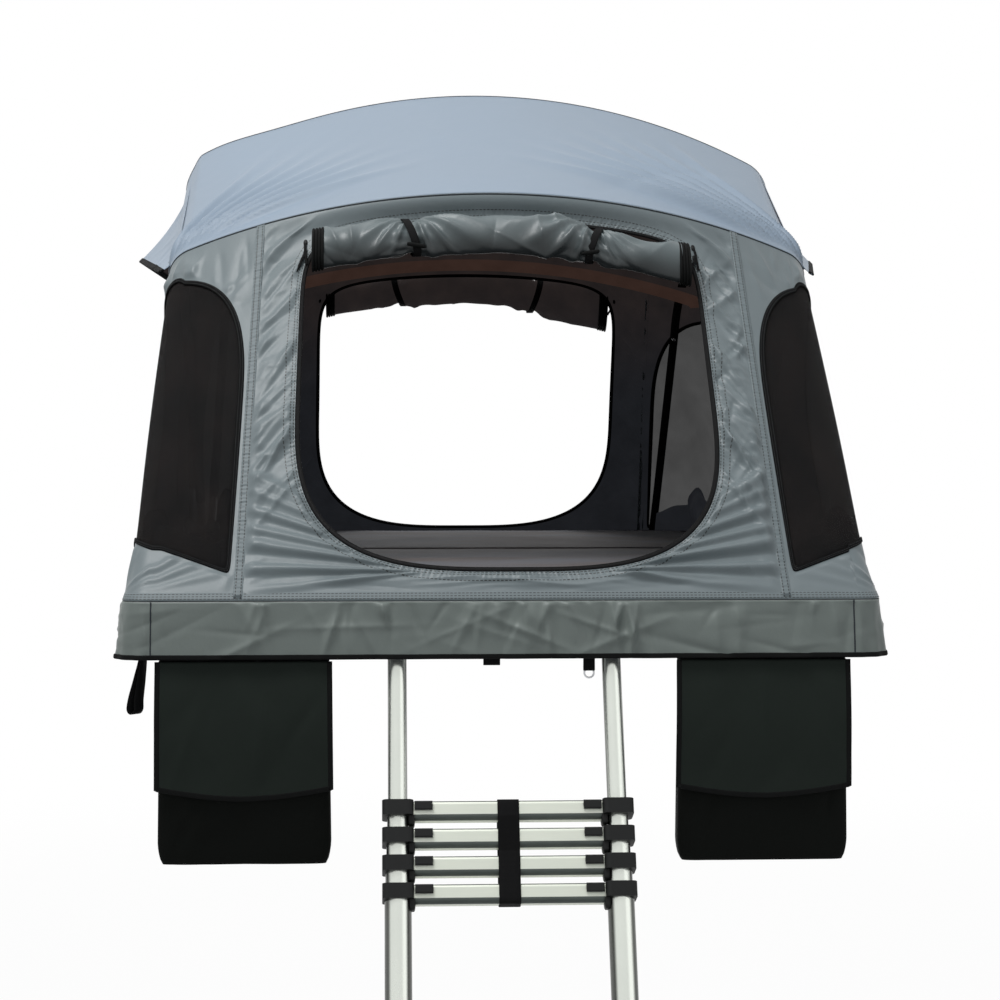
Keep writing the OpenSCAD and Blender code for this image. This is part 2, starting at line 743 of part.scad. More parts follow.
module rounded_bar(length, depth, height, r) {
    rotate([90, 0, 90]) linear_extrude(length) {
        translate([-depth / 2 + r, 0]) square([depth - 2 * r, height]);
        translate([-depth / 2, r]) square([depth, height - 2 * r]);
        for (y = [-1, 1], z = [r, height - r]) translate([y * (depth / 2 - r), z]) circle(r);
    }
}

module ladder_tubes(k) {
    r = section_d(k) / 2;
    top = k == 1 ? -tube_head : section_start(k) + collar_top;
    bottom = k == 1 ? first_rung + tube_overlap : top + ladder_tube_len;
    color(alloy_colour)
    on_ladder()
        for (s = [-1, 1]) translate([s * ladder_w / 2, 0, -bottom])
            difference() {
                cylinder(h = bottom - top, r = r);
                translate([0, 0, -1]) cylinder(h = bottom - top + 2, r = r - ladder_wall);
                if (k == 1) translate([-r - 1, 0, bottom]) rotate([0, 90, 0])
                    cylinder(h = 2 * r + 2, r = pin_r + pin_gap);
            }
}

// A collar sits on the top of a section's tubes and guides the tubes above it
module ladder_collars(k) {
    round = 10;
    color(trim_colour)
    on_ladder()
        for (s = [-1, 1]) translate([s * ladder_w / 2, 0, -section_start(k) - collar_h])
            difference() {
                linear_extrude(collar_h) {
                    square([collar_w, collar_w - 2 * round], center = true);
                    square([collar_w - 2 * round, collar_w], center = true);
                    for (x = [-1, 1], y = [-1, 1])
                        translate([x, y] * (collar_w / 2 - round)) circle(round);
                }
                translate([0, 0, -1]) cylinder(h = collar_h + 2, r = section_d(k - 1) / 2 + ladder_gap);
                translate([0, 0, -1]) cylinder(h = collar_h - collar_top + 1, r = section_d(k) / 2 + 0.05);
            }
}

function rung_reach() = ladder_w / 2 - collar_w / 2;
function latch_outer() = rung_reach() - 2;
function latch_z(k) = -section_start(k) - rung_h * 0.28;

module ladder_rung(k) {
    inner = rung_depth - 2 * rung_wall;
    slot_l = latch_stem_l + latch_travel + 2;
    color(alloy_colour)
    on_ladder() difference() {
        translate([-rung_reach(), 0, -section_start(k) - rung_h])
            rounded_bar(2 * rung_reach(), rung_depth, rung_h, rung_round);
        translate([-rung_reach() - 1, 0, -section_start(k) - rung_h + rung_wall])
            rounded_bar(2 * rung_reach() + 2, inner, rung_h - 2 * rung_wall, rung_round - rung_wall);
        for (s = [-1, 1])
            translate([s * (latch_outer() - latch_l / 2 - latch_travel / 2), -rung_depth / 2, latch_z(k)])
                cube([slot_l, 3 * rung_wall, latch_stem_h + 1], center = true);
    }
}

// A thumb latch slides along the rung's face towards its middle
module latch(k, s) {
    color(trim_colour)
    on_ladder() translate([s * (latch_outer() - latch_l / 2), -rung_depth / 2 - touch_gap, latch_z(k)]) {
        translate([-latch_l / 2, -latch_t / 2, -latch_h / 2])
            rounded_bar(latch_l, latch_t, latch_h, latch_t / 2 - 0.1);
        translate([0, latch_stem_d / 2 - 1, 0])
            cube([latch_stem_l, latch_stem_d, latch_stem_h], center = true);
    }
}

module ladder_feet() {
    r = section_d(sections) / 2;
    bottom = section_start(sections) + collar_top + ladder_tube_len;
    color(trim_colour)
    on_ladder()
        for (s = [-1, 1]) translate([s * ladder_w / 2, 0, -bottom - foot_cap_h + foot_seat])
            difference() {
                cylinder(h = foot_cap_h, r = r + foot_cap_wall);
                translate([0, 0, foot_cap_h - foot_seat]) cylinder(h = foot_seat + 1, r = r + 0.05);
            }
}

// The strap goes once round all the rungs that are pushed together
module rung_strap() {
    low = section_start(sections) + rung_h + touch_gap;
    high = section_start(2) - touch_gap;
    depth = rung_depth + 2 * touch_gap;
    color(trim_colour)
    on_ladder() difference() {
        translate([-strap_w / 2, 0, -low - strap_t])
            rounded_bar(strap_w, depth + 2 * strap_t, low - high + 2 * strap_t, rung_round + strap_t);
        translate([-strap_w / 2 - 1, 0, -low]) rounded_bar(strap_w + 2, depth, low - high, rung_round);
    }
}

module ladder_brackets() {
    r = ladder_d / 2;
    color(alloy_colour)
    for (s = [-1, 1]) translate([s * ladder_w / 2, ladder_y, 0]) {
        translate([-r - ear_gap - ear_t, front_y - ladder_y, frame_z - bracket_t])
            cube([2 * (r + ear_gap + ear_t), bracket_l, bracket_t]);
        for (side = [-1, 1])
            translate([side * (r + ear_gap + ear_t / 2) - ear_t / 2, 0, 0]) rotate([90, 0, 90])
                difference() {
                    linear_extrude(ear_t) {
                        translate([0, ladder_z]) circle(ear_r);
                        translate([-ear_r, ladder_z]) square([2 * ear_r, frame_z - bracket_t - ladder_z]);
                    }
                    translate([0, ladder_z, -1]) cylinder(h = ear_t + 2, r = pin_r + 0.02);
                }
    }
}

module ladder_pins() {
    color(alloy_colour)
    for (s = [-1, 1])
        translate([s * ladder_w / 2 - pin_len / 2, ladder_y, ladder_z]) rotate([0, 90, 0])
            cylinder(h = pin_len, r = pin_r);
}

// A shoe bag hangs by a web from the edge frame and is open at the front, under its flap
module shoe_bag(s) {
    color(trim_colour)
    translate([s * bag_x - bag_w / 2, 0, 0]) {
        difference() {
            translate([0, bag_front, bag_top - bag_h]) cube([bag_w, bag_d, bag_h]);
            translate([bag_wall, bag_front + bag_wall, bag_top - bag_h + bag_wall])
                cube([bag_w - 2 * bag_wall, bag_d - 2 * bag_wall, bag_h - 2 * bag_wall]);
            translate([bag_wall, bag_front - 1, bag_top - bag_wall - mouth_h])
                cube([bag_w - 2 * bag_wall, bag_wall + 2, mouth_h]);
        }
        translate([0, web_y, bag_top - 1]) cube([bag_w, web_t, frame_z - touch_gap - bag_top + 1]);
    }
}

module bag_flap(s) {
    arc_r = (pow(bag_w / 2, 2) + pow(flap_belly, 2)) / (2 * max(flap_belly, 0.01));
    color(trim_colour)
    translate([s * bag_x, bag_front - touch_gap, bag_top]) rotate([90, 0, 0])
        linear_extrude(flap_t) {
            translate([-bag_w / 2, -flap_drop]) square([bag_w, flap_drop]);
            intersection() {
                translate([0, -flap_drop - flap_belly + arc_r]) circle(arc_r, $fn = 96);
                translate([-bag_w / 2, -flap_drop - flap_belly - 1]) square([bag_w, flap_belly + 2]);
            }
        }
}

module hanging_web(x, w, low) {
    translate([x - w / 2, web_y - webbing_t / 2, low]) cube([w, webbing_t, frame_z - touch_gap - low]);
}

// Webbing under the front edge: a pull loop at the left, a short tab and the strap that holds the ring
module tie_straps() {
    color(trim_colour) {
        difference() {
            translate([-loop_x - loop_w / 2, web_y - loop_depth / 2, hem_z - loop_drop])
                cube([loop_w, loop_depth, frame_z - touch_gap - hem_z + loop_drop]);
            translate([-loop_x - loop_w / 2 + loop_wall, web_y - loop_depth / 2 - 1,
                hem_z - loop_drop + loop_wall])
                cube([loop_w - 2 * loop_wall, loop_depth + 2, loop_drop * 0.8]);
        }
        hanging_web(tab_x, tab_w, hem_z - tab_drop);
        hanging_web(ring_strap_x, ring_strap_w, hem_z - ring_strap_drop);
    }
}

module strap_ring() {
    color(alloy_colour)
    translate([ring_strap_x, web_y, hem_z - ring_strap_drop - ring_r - ring_wire_r - touch_gap])
        rotate([90, 0, 0]) rotate_extrude() translate([ring_r, 0]) circle(ring_wire_r, $fn = 16);
}

floor_panel(1);  // rear_floor_panel
floor_frame(1);  // rear_floor_frame
mounting_rails();
rail_bolts();
hinge_plates(1, rear_plate_x);  // rear_hinge_plates
pivot_bolts();
pivot_nuts();
mattress(1);  // rear_mattress
color(canopy_colour) skirt(1);  // rear_skirt
floor_panel(-1);  // front_floor_panel
floor_frame(-1);  // front_floor_frame
hinge_plates(-1, front_plate_x);  // front_hinge_plates
mattress(-1);  // front_mattress
color(canopy_colour) skirt(-1);  // front_skirt
bow(front_bow_size);  // front_bow
bow(ridge_bow_size);  // ridge_bow
bow(rear_bow_size);  // rear_bow
color(canopy_colour) end_wall(function(p, v) front_point(p, v));  // front_wall
color(canopy_colour) corner_walls(function(p, v) front_point(p, v));  // front_corner_walls
color(net_colour) corner_windows(function(p, v) front_point(p, v));  // front_corner_windows
color(canopy_colour) door_roll(function(p, v) front_point(p, v), -1);  // front_door_roll
color(roof_colour) roof_panel(function(p, v) front_roof_point(p, v));  // roof_front
color(roof_colour) roof_panel(function(p, v) rear_roof_point(p, v));  // roof_rear
color(canopy_colour) end_wall(function(p, v) rear_point(p, v));  // rear_wall
color(canopy_colour) corner_walls(function(p, v) rear_point(p, v));  // rear_corner_walls
color(net_colour) corner_windows(function(p, v) rear_point(p, v));  // rear_corner_windows
color(canopy_colour) door_roll(function(p, v) rear_point(p, v), 1);  // rear_door_roll
side_eaves();
ladder_brackets();
ladder_pins();
ladder_tubes(1);  // ladder_tubes_1
ladder_tubes(2);  // ladder_tubes_2
ladder_tubes(3);  // ladder_tubes_3
ladder_tubes(4);  // ladder_tubes_4
ladder_tubes(5);  // ladder_tubes_5
ladder_collars(2);  // ladder_collars_2
ladder_collars(3);  // ladder_collars_3
ladder_collars(4);  // ladder_collars_4
ladder_collars(5);  // ladder_collars_5
ladder_rung(2);  // ladder_rung_2
ladder_rung(3);  // ladder_rung_3
ladder_rung(4);  // ladder_rung_4
ladder_rung(5);  // ladder_rung_5
latch(2, -1);  // latch_left_2
latch(3, -1);  // latch_left_3
latch(4, -1);  // latch_left_4
latch(5, -1);  // latch_left_5
latch(2, 1);  // latch_right_2
latch(3, 1);  // latch_right_3
latch(4, 1);  // latch_right_4
latch(5, 1);  // latch_right_5
ladder_feet();
rung_strap();
shoe_bag(-1);  // shoe_bag_left
shoe_bag(1);  // shoe_bag_right
bag_flap(-1);  // bag_flap_left
bag_flap(1);  // bag_flap_right
tie_straps();
strap_ring();
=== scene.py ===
"""Looks of a fold-out roof top tent: cloth, trim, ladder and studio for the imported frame."""

from __future__ import annotations

import logging
import math
from dataclasses import dataclass
from enum import Enum
from typing import Sequence

import bpy
import numpy as np
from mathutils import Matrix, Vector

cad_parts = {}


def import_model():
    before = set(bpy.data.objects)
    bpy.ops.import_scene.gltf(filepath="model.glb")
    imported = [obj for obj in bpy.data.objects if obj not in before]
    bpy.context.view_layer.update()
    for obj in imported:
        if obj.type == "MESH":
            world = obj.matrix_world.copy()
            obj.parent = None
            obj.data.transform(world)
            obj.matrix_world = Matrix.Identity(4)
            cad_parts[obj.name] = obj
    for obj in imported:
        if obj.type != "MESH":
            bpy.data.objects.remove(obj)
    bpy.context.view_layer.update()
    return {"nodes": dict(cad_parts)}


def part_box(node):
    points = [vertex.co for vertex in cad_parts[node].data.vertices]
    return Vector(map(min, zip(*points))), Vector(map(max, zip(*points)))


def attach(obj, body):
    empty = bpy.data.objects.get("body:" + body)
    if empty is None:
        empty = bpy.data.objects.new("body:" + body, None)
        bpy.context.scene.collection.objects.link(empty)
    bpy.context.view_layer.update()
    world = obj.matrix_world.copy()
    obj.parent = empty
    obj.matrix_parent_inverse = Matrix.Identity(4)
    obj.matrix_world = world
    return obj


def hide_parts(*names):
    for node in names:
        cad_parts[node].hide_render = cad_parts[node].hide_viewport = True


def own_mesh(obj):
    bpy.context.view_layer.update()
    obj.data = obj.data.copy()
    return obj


LOG = logging.getLogger("roof_top_tent")
Array = np.ndarray
Colour = tuple[float, float, float]
Point = tuple[float, float, float]
Material = bpy.types.Material
NodeSocket = bpy.types.NodeSocket
Object = bpy.types.Object

FULL_TURN = 2.0 * math.pi
WHITE = (1.0, 1.0, 1.0, 1.0)
ACROSS = (1.0, 0.0, 0.0)
ALONG = (0.0, 1.0, 0.0)
UP = (0.0, 0.0, 1.0)

# Thickness of the canopy's and the bags' cloth, and the canopy's distance from its form, in metres.
CLOTH_THICK = 0.0012
BAG_THICK = 0.0018
STAND_OFF = 0.002


class End(Enum):
    """The two ends of the tent, each with its direction along Y."""

    FRONT = -1
    REAR = 1

    @property
    def word(self) -> str:
        """The end's name as it stands in piece and body names."""
        return self.name.lower()

    @property
    def body(self) -> str:
        """The base half that this end's cloth is fixed to."""
        return f"base_{self.word}"


class Side(Enum):
    """The two sides of the tent, each with its direction along X."""

    LEFT = -1
    RIGHT = 1

    @property
    def word(self) -> str:
        """The side's name as it stands in piece names."""
        return self.name.lower()


def srgb(red: int, green: int, blue: int) -> Colour:
    """Turn an 8-bit display colour into linear light.

    Args:
        red: Red from 0 to 255.
        green: Green from 0 to 255.
        blue: Blue from 0 to 255.

    Returns:
        The three linear values.
    """
    scaled = np.array([red, green, blue], float) / 255.0
    linear = np.where(scaled <= 0.04045, scaled / 12.92, ((scaled + 0.055) / 1.055) ** 2.4)
    return (float(linear[0]), float(linear[1]), float(linear[2]))


def mix(a: Array | float, b: Array | float, t: Array | float) -> Array:
    """Straight-line blend from a to b at share t."""
    return a + (b - a) * t


def smooth(t: Array) -> Array:
    """Ease from 0 to 1 with flat ends."""
    held = np.clip(t, 0.0, 1.0)
    return held * held * (3.0 - 2.0 * held)


def unit(vectors: Array) -> Array:
    """Scale vectors in the last axis to length one."""
    return vectors / np.maximum(np.linalg.norm(vectors, axis=-1, keepdims=True), 1e-12)


def stack(*parts: Array) -> Array:
    """Put coordinates side by side in a new last axis."""
    return np.stack(parts, axis=-1)


def circle(count: int) -> Array:
    """Angles that go round once, the last one a step short of the first."""
    return np.linspace(0.0, FULL_TURN, count, endpoint=False)


def squared(values: Array, power: float) -> Array:
    """Raise values to a power and keep their signs."""
    return np.sign(values) * np.abs(values) ** power


def alike(vector: Sequence[float], count: int) -> Array:
    """One direction, given again for each point of a path."""
    return np.tile(vector, (count, 1))


def bell(t: Array, width: float) -> Array:
    """One at the middle, falling away on both sides."""
    return np.exp(-((t / width) ** 2))


def ahead_of(path: Array, closed: bool = False) -> Array:
    """Unit directions along a path."""
    if closed:
        return unit(np.roll(path, -1, axis=0) - np.roll(path, 1, axis=0))
    return unit(np.gradient(path, axis=0))


def side_of(p: Array) -> Array:
    """Minus one left of the middle and one right of it."""
    return np.where(p < 0, -1.0, 1.0)


def metres_along(points: Array) -> Array:
    """How far along a path each of its points lies."""
    return np.concatenate([[0.0], np.cumsum(np.linalg.norm(np.diff(points, axis=0), axis=-1))])


def away_from(middle: Array, points: Array, normals: Array) -> Array:
    """Turn normals so that they look away from a middle point."""
    inward = np.sum(normals * (points - middle), axis=-1, keepdims=True) < 0
    return np.where(inward, -normals, normals)


class Socket:
    """A shader value that takes part in Python arithmetic."""

    def __init__(self, kit: NodeTree, link: NodeSocket) -> None:
        """Wrap a node's output socket."""
        self.kit = kit
        self.link = link

    def _math(self, operation: str, first: object, second: object) -> Socket:
        """Add one Math node for two operands."""
        made = self.kit.node("ShaderNodeMath", {"operation": operation}, {0: first, 1: second})
        return Socket(self.kit, made.outputs[0])

    def __add__(self, other: object) -> Socket:
        """Sum."""
        return self._math("ADD", self, other)

    def __sub__(self, other: object) -> Socket:
        """Difference."""
        return self._math("SUBTRACT", self, other)

    def __rsub__(self, other: object) -> Socket:
        """Difference with a number on the left."""
        return self._math("SUBTRACT", other, self)

    def __mul__(self, other: object) -> Socket:
        """Product."""
        return self._math("MULTIPLY", self, other)

    def __truediv__(self, other: object) -> Socket:
        """Quotient."""
        return self._math("DIVIDE", self, other)

    __radd__ = __add__
    __rmul__ = __mul__

    def below(self, limit: object) -> Socket:
        """One where the value is under a limit, and zero elsewhere."""
        return self._math("LESS_THAN", self, limit)

    def part(self) -> Socket:
        """The part after the decimal point."""
        return self._math("FRACT", self, 0.0)

    def wave(self) -> Socket:
        """The sine of the value."""
        return self._math("SINE", self, 0.0)

    def ripple(self, length: float) -> Socket:
        """A sine wave over the value, from its length."""
        return (self * (FULL_TURN / length)).wave()

    def size(self) -> Socket:
        """The value without its sign."""
        return self._math("ABSOLUTE", self, 0.0)

    def ramp(self, low: float, high: float) -> Socket:
        """Zero below a low value, one above a high one, and a smooth step between them."""
        made = self.kit.node("ShaderNodeMapRange", {"interpolation_type": "SMOOTHSTEP"},
                             {0: self, 1: low, 2: high, 3: 0.0, 4: 1.0})
        return Socket(self.kit, made.outputs[0])


class NodeTree:
    """An empty node tree, with one method that makes any node."""

    def __init__(self, tree: bpy.types.NodeTree) -> None:
        """Clear a tree and keep it."""
        self.tree = tree
        tree.nodes.clear()

    def node(self, kind: str, settings: dict[str, object], inputs: dict[object, object]) -> bpy.types.Node:
        """Make a node, apply its settings, then set or link its inputs.

        Args:
            kind: Blender's node type.
            settings: Attributes, set before the inputs.
            inputs: Socket names or numbers, each with a value, a socket or a Socket.

        Returns:
            The new node.
        """
        made = self.tree.nodes.new(kind)
        for key, value in settings.items():
            setattr(made, key, value)
        for key, value in inputs.items():
            self.feed(made.inputs[key], value)
        return made

    def feed(self, target: NodeSocket, value: object) -> None:
        """Link a socket to an input, or set the input's value."""
        if isinstance(value, Socket):
            self.tree.links.new(value.link, target)
        elif isinstance(value, NodeSocket):
            self.tree.links.new(value, target)
        else:
            target.default_value = value


class NodeKit(NodeTree):
    """One material's node tree, with what the materials share."""

    def __init__(self, name: str) -> None:
        """Start a material with a Principled shader and its output."""
        self.material = bpy.data.materials.new(name)
        self.material.use_nodes = True
        super().__init__(self.material.node_tree)
        self.output = self.node("ShaderNodeOutputMaterial", {}, {})
        self.shader = self.node("ShaderNodeBsdfPrincipled", {}, {})
        self.feed(self.output.inputs[0], self.shader.outputs[0])

    def place(self) -> NodeSocket:
        """The point on the piece in its own coordinates."""
        return self.node("ShaderNodeTexCoord", {}, {}).outputs["Object"]

    def axis(self, index: int) -> Socket:
        """The point's distance along X, Y or Z, in metres."""
        parts = self.node("ShaderNodeSeparateXYZ", {}, {0: self.place()})
        return Socket(self, parts.outputs[index])

    def run(self) -> tuple[Socket, Socket]:
        """The piece's own UV map as two values: metres along it, and across it."""
        chart = self.node("ShaderNodeUVMap", {"uv_map": "run"}, {})
        parts = self.node("ShaderNodeSeparateXYZ", {}, {0: chart.outputs[0]})
        return Socket(self, parts.outputs[0]), Socket(self, parts.outputs[1])

    def noise(self, scale: float, detail: float = 2.0, stretch: Sequence[float] = (1.0, 1.0, 1.0)) -> Socket:
        """Cloudy values about 0.5, stretched along the axes.

        Args:
            scale: Lumps to a metre.
            detail: Octaves.
            stretch: How many times closer the lumps lie along each axis.

        Returns:
            The noise value.
        """
        placed = self.node("ShaderNodeMapping", {}, {"Vector": self.place(), "Scale": tuple(stretch)})
        made = self.node("ShaderNodeTexNoise", {},
                         {"Vector": placed.outputs[0], "Scale": scale, "Detail": detail})
        return Socket(self, made.outputs[0])

    def blend(self, share: object, first: object, second: object) -> Socket:
        """Mix two colours by a share."""
        made = self.node("ShaderNodeMix", {"data_type": "RGBA"}, {0: share, 6: first, 7: second})
        return Socket(self, made.outputs[2])

    def relief(self, height: Socket, depth: float, under: object = None) -> NodeSocket:
        """Turn a height from 0 to 1 into a bumped normal.

        Args:
            height: The height.
            depth: What a height of one stands for, in metres.
            under: A normal to add the relief to.

        Returns:
            The normal socket.
        """
        inputs: dict[object, object] = {"Height": height, "Distance": depth, "Strength": 1.0}
        if under is not None:
            inputs["Normal"] = under
        return self.node("ShaderNodeBump", {}, inputs).outputs[0]

    def dress(self, **inputs: object) -> Material:
        """Set the Principled shader's inputs by name, with _ for a space, and hand back the material."""
        for key, value in inputs.items():
            self.feed(self.shader.inputs[key.replace("_", " ")], value)
        return self.material


def shade(colour: Colour, factor: float = 1.0) -> tuple[float, float, float, float]:
    """A colour made lighter or darker, with full cover."""
    return (colour[0] * factor, colour[1] * factor, colour[2] * factor, 1.0)


@dataclass(frozen=True)
class Stitching:
    """Rows of stitches drawn along a band's own UV map."""

    rows: tuple[float, ...]
    thread: Colour
    width: float
    pitch: float = 0.0052
    length: float = 0.62
    thick: float = 0.0011

    def mask(self, kit: NodeKit) -> Socket:
        """One on a stitch and zero elsewhere: inside a dash along the band, and near a row across it."""
        along, across = kit.run()
        dash = (along / self.pitch).part().below(self.length)
        half = 0.5 * self.thick / self.width
        near = (across - self.rows[0]).size().below(half)
        for row in self.rows[1:]:
            near = near + (across - row).size().below(half)
        return dash * near

    def sew(self, kit: NodeKit, base: Socket, normal: NodeSocket,
            depth: float) -> tuple[Socket, NodeSocket]:
        """Lay the stitches over a material's colour and normal.

        Args:
            kit: The material.
            base: Its colour.
            normal: Its normal.
            depth: How high the thread stands.

        Returns:
            The new colour and normal.
        """
        mask = self.mask(kit)
        return kit.blend(mask, base, shade(self.thread)), kit.relief(mask, depth, normal)


@dataclass(frozen=True)
class Canvas:
    """Coated woven cloth: thread grain, soft mottling, small creases and a faint sheen.

    Puckers have a depth and a reach across the cloth's own UV run, and fade out over that reach. A rolled
    cloth can take painted shade on its underside: there its colour falls to 0.22 of itself, and it comes back
    between two places across its run. A second colour comes in as soft streaks.
    """

    name: str
    colour: Colour
    rough: float = 0.5
    grain: float = 0.00018
    crease: float = 0.0012
    sheen: float = 0.1
    mottle: float = 0.10
    gloss: float = 0.3
    pucker: tuple[float, float] = (0.0, 0.0)
    # Painted shade for a rolled cloth's underside: the two places across the run where the colour climbs back
    # to full.
    under: tuple[float, float] | None = None
    second: Colour | None = None
    stitching: Stitching | None = None

    def make(self) -> Material:
        """Build the cloth: threads both ways, patches of tone and crumples, with any stitches on top."""
        kit = NodeKit(self.name)
        warp = kit.noise(420.0, 1.0, (1.0, 0.2, 5.0))
        weft = kit.noise(420.0, 1.0, (5.0, 5.0, 0.25))
        threads = warp * 0.5 + weft * 0.5
        patches = kit.noise(2.6, 3.0)
        crumple = kit.noise(26.0, 4.0, (1.0, 1.0, 0.6))
        tone = patches * 0.6 + threads * 0.4
        base = kit.blend(tone, shade(self.colour, 1.0 - self.mottle), shade(self.colour, 1.0 + self.mottle))
        normal = kit.relief(threads, self.grain, kit.relief(crumple, self.crease))
        if self.second is not None:
            streaks = kit.noise(3.4, 5.0, (0.5, 1.6, 1.0))
            base = kit.blend(streaks.ramp(0.38, 0.64), base, shade(self.second))
        # Painted shade: below the first place across the run the cloth is at 0.22 of its colour, standing for
        # the shaded underside of a roll.
        if self.under is not None:
            base = kit.blend(kit.run()[1].ramp(*self.under), shade(self.colour, 0.22), base)
        if self.pucker[0] > 0.0:
            along, across = kit.run()
            waves = (along * (FULL_TURN / 0.0143) + crumple * 9.0).wave() * along.ripple(0.0391)
            normal = kit.relief(waves * (1.0 - across.ramp(0.0, self.pucker[1])), self.pucker[0], normal)
        if self.stitching is not None:
            base, normal = self.stitching.sew(kit, base, normal, 0.0006)
        return kit.dress(Base_Color=base, Roughness=self.rough + (patches - 0.5) * 0.16, Normal=normal,
                         Sheen_Weight=self.sheen, Sheen_Roughness=0.4, Specular_IOR_Level=self.gloss)


@dataclass(frozen=True)
class LiningCloth:
    """The cloth's inner face: dark, lighter and browner higher up, with a painted glow that stands for
    daylight through the weave.
    """

    name: str
    low: Colour
    high: Colour
    glow: float

    def make(self) -> Material:
        """Build the lining: colour by height, crumples, and a faint painted glow of the same colour."""
        kit = NodeKit(self.name)
        crumple = kit.noise(18.0, 4.0, (1.0, 1.0, 0.7))
        base = kit.blend(kit.axis(2).ramp(0.45, 0.85), shade(self.low), shade(self.high))
        base = kit.blend(crumple * 0.8, base, shade(self.low, 0.4))
        # The emission is painted light: a glow in the cloth's own colour, standing for daylight through the
        # weave.
        return kit.dress(Base_Color=base, Roughness=0.8 + (crumple - 0.5) * 0.2,
                         Normal=kit.relief(crumple, 0.0016), Emission_Color=base, Emission_Strength=self.glow,
                         Specular_IOR_Level=0.1)


@dataclass(frozen=True)
class InsectNet:
    """Fine black net: a knitted grid that lets a little light through."""

    name: str
    colour: Colour
    cover: float = 0.76
    mesh: float = 0.0016

    def make(self) -> Material:
        """Build the net: two crossed sets of fine ribs, with a cover and a warm tone in soft streaks."""
        kit = NodeKit(self.name)
        along, across = kit.run()
        ribs = along.ripple(self.mesh) * across.ripple(self.mesh) * 0.5 + 0.5
        drift = kit.noise(5.0, 3.0, (2.5, 2.5, 0.5))
        red, green, blue = self.colour
        warm = shade((red * 3.4, green * 2.6, blue * 2.3))
        base = kit.blend(ribs * 0.25 + drift.ramp(0.36, 0.72) * 0.75, shade(self.colour, 0.5), warm)
        return kit.dress(Base_Color=base, Roughness=0.7 + drift * 0.2, Normal=kit.relief(ribs, 0.0003),
                         Alpha=self.cover + (drift - 0.5) * 0.1, Specular_IOR_Level=0.12)


@dataclass(frozen=True)
class Webbing:
    """Woven tape: ribs across its run, with any stitches on top."""

    name: str
    colour: Colour
    rib: float = 0.0022
    rough: float = 0.7
    stitching: Stitching | None = None

    def make(self) -> Material:
        """Build the tape: ribs along the UV run, softened by noise."""
        kit = NodeKit(self.name)
        ribs = kit.run()[0].ripple(self.rib) * 0.5 + 0.5
        fuzz = kit.noise(300.0, 2.0)
        base = kit.blend(ribs * 0.5 + fuzz * 0.5, shade(self.colour, 0.6), shade(self.colour, 1.5))
        normal = kit.relief(ribs * 0.6 + fuzz * 0.4, 0.0004)
        if self.stitching is not None:
            base, normal = self.stitching.sew(kit, base, normal, 0.0005)
        return kit.dress(Base_Color=base, Roughness=self.rough + fuzz * 0.15, Normal=normal,
                         Specular_IOR_Level=0.12)


@dataclass(frozen=True)
class ZipTape:
    """Coil zip: fine teeth in the middle of a woven tape."""

    name: str
    colour: Colour
    pitch: float = 0.0016

    def make(self) -> Material:
        """Build the zip: teeth as a quick wave along the run, kept to the middle of the band."""
        kit = NodeKit(self.name)
        along, across = kit.run()
        middle = (across - 0.5).size().below(0.16)
        teeth = (along.ripple(self.pitch) * 0.5 + 0.5) * middle
        fuzz = kit.noise(260.0, 2.0)
        base = kit.blend(teeth * 0.6 + fuzz * 0.4, shade(self.colour, 0.5), shade(self.colour, 1.8))
        return kit.dress(Base_Color=base, Roughness=0.75 - middle * 0.3,
                         Normal=kit.relief(teeth + middle, 0.0006), Specular_IOR_Level=0.15)


@dataclass(frozen=True)
class Moulding:
    """Moulded plastic or rubber: fine spark grain, with rubbed patches."""

    name: str
    colour: Colour
    rough: float = 0.5
    grain: float = 0.00015

    def make(self) -> Material:
        """Build the moulding from fine and coarse noise."""
        kit = NodeKit(self.name)
        spark = kit.noise(900.0, 1.0)
        rubbed = kit.noise(22.0, 4.0)
        base = kit.blend(rubbed, shade(self.colour, 0.75), shade(self.colour, 1.4))
        return kit.dress(Base_Color=base, Roughness=self.rough + (rubbed - 0.5) * 0.24,
                         Normal=kit.relief(spark, self.grain), Specular_IOR_Level=0.22)


@dataclass(frozen=True)
class Alloy:
    """Anodised or plated metal: drawn lines along one axis and faint handling marks.

    A pair of tubes gives the distance of its bores from the middle, and has painted shade at its sides: near
    each tube's edge its colour falls to 0.14 of itself.
    """

    name: str
    colour: Colour
    rough: float = 0.34
    lines: tuple[float, float, float] = (40.0, 40.0, 1.0)
    metallic: float = 1.0
    bore: float = 0.0

    def make(self) -> Material:
        """Build the metal: stretched noise for the drawn lines, broad noise for marks."""
        kit = NodeKit(self.name)
        drawn = kit.noise(30.0, 3.0, self.lines)
        marks = kit.noise(9.0, 4.0)
        base = kit.blend(drawn * 0.5 + marks * 0.5, shade(self.colour, 0.92), shade(self.colour, 1.05))
        if self.bore > 0.0:
            # Painted shade: the colour darkens towards each tube's side edges, away from its middle line at
            # the bore's distance.
            off = (kit.axis(0).size() - self.bore).size()
            base = kit.blend(off.ramp(0.0125, 0.0185), base, shade(self.colour, 0.14))
        return kit.dress(Base_Color=base, Metallic=self.metallic, Roughness=self.rough + (marks - 0.5) * 0.18,
                         Normal=kit.relief(drawn, 0.00006))


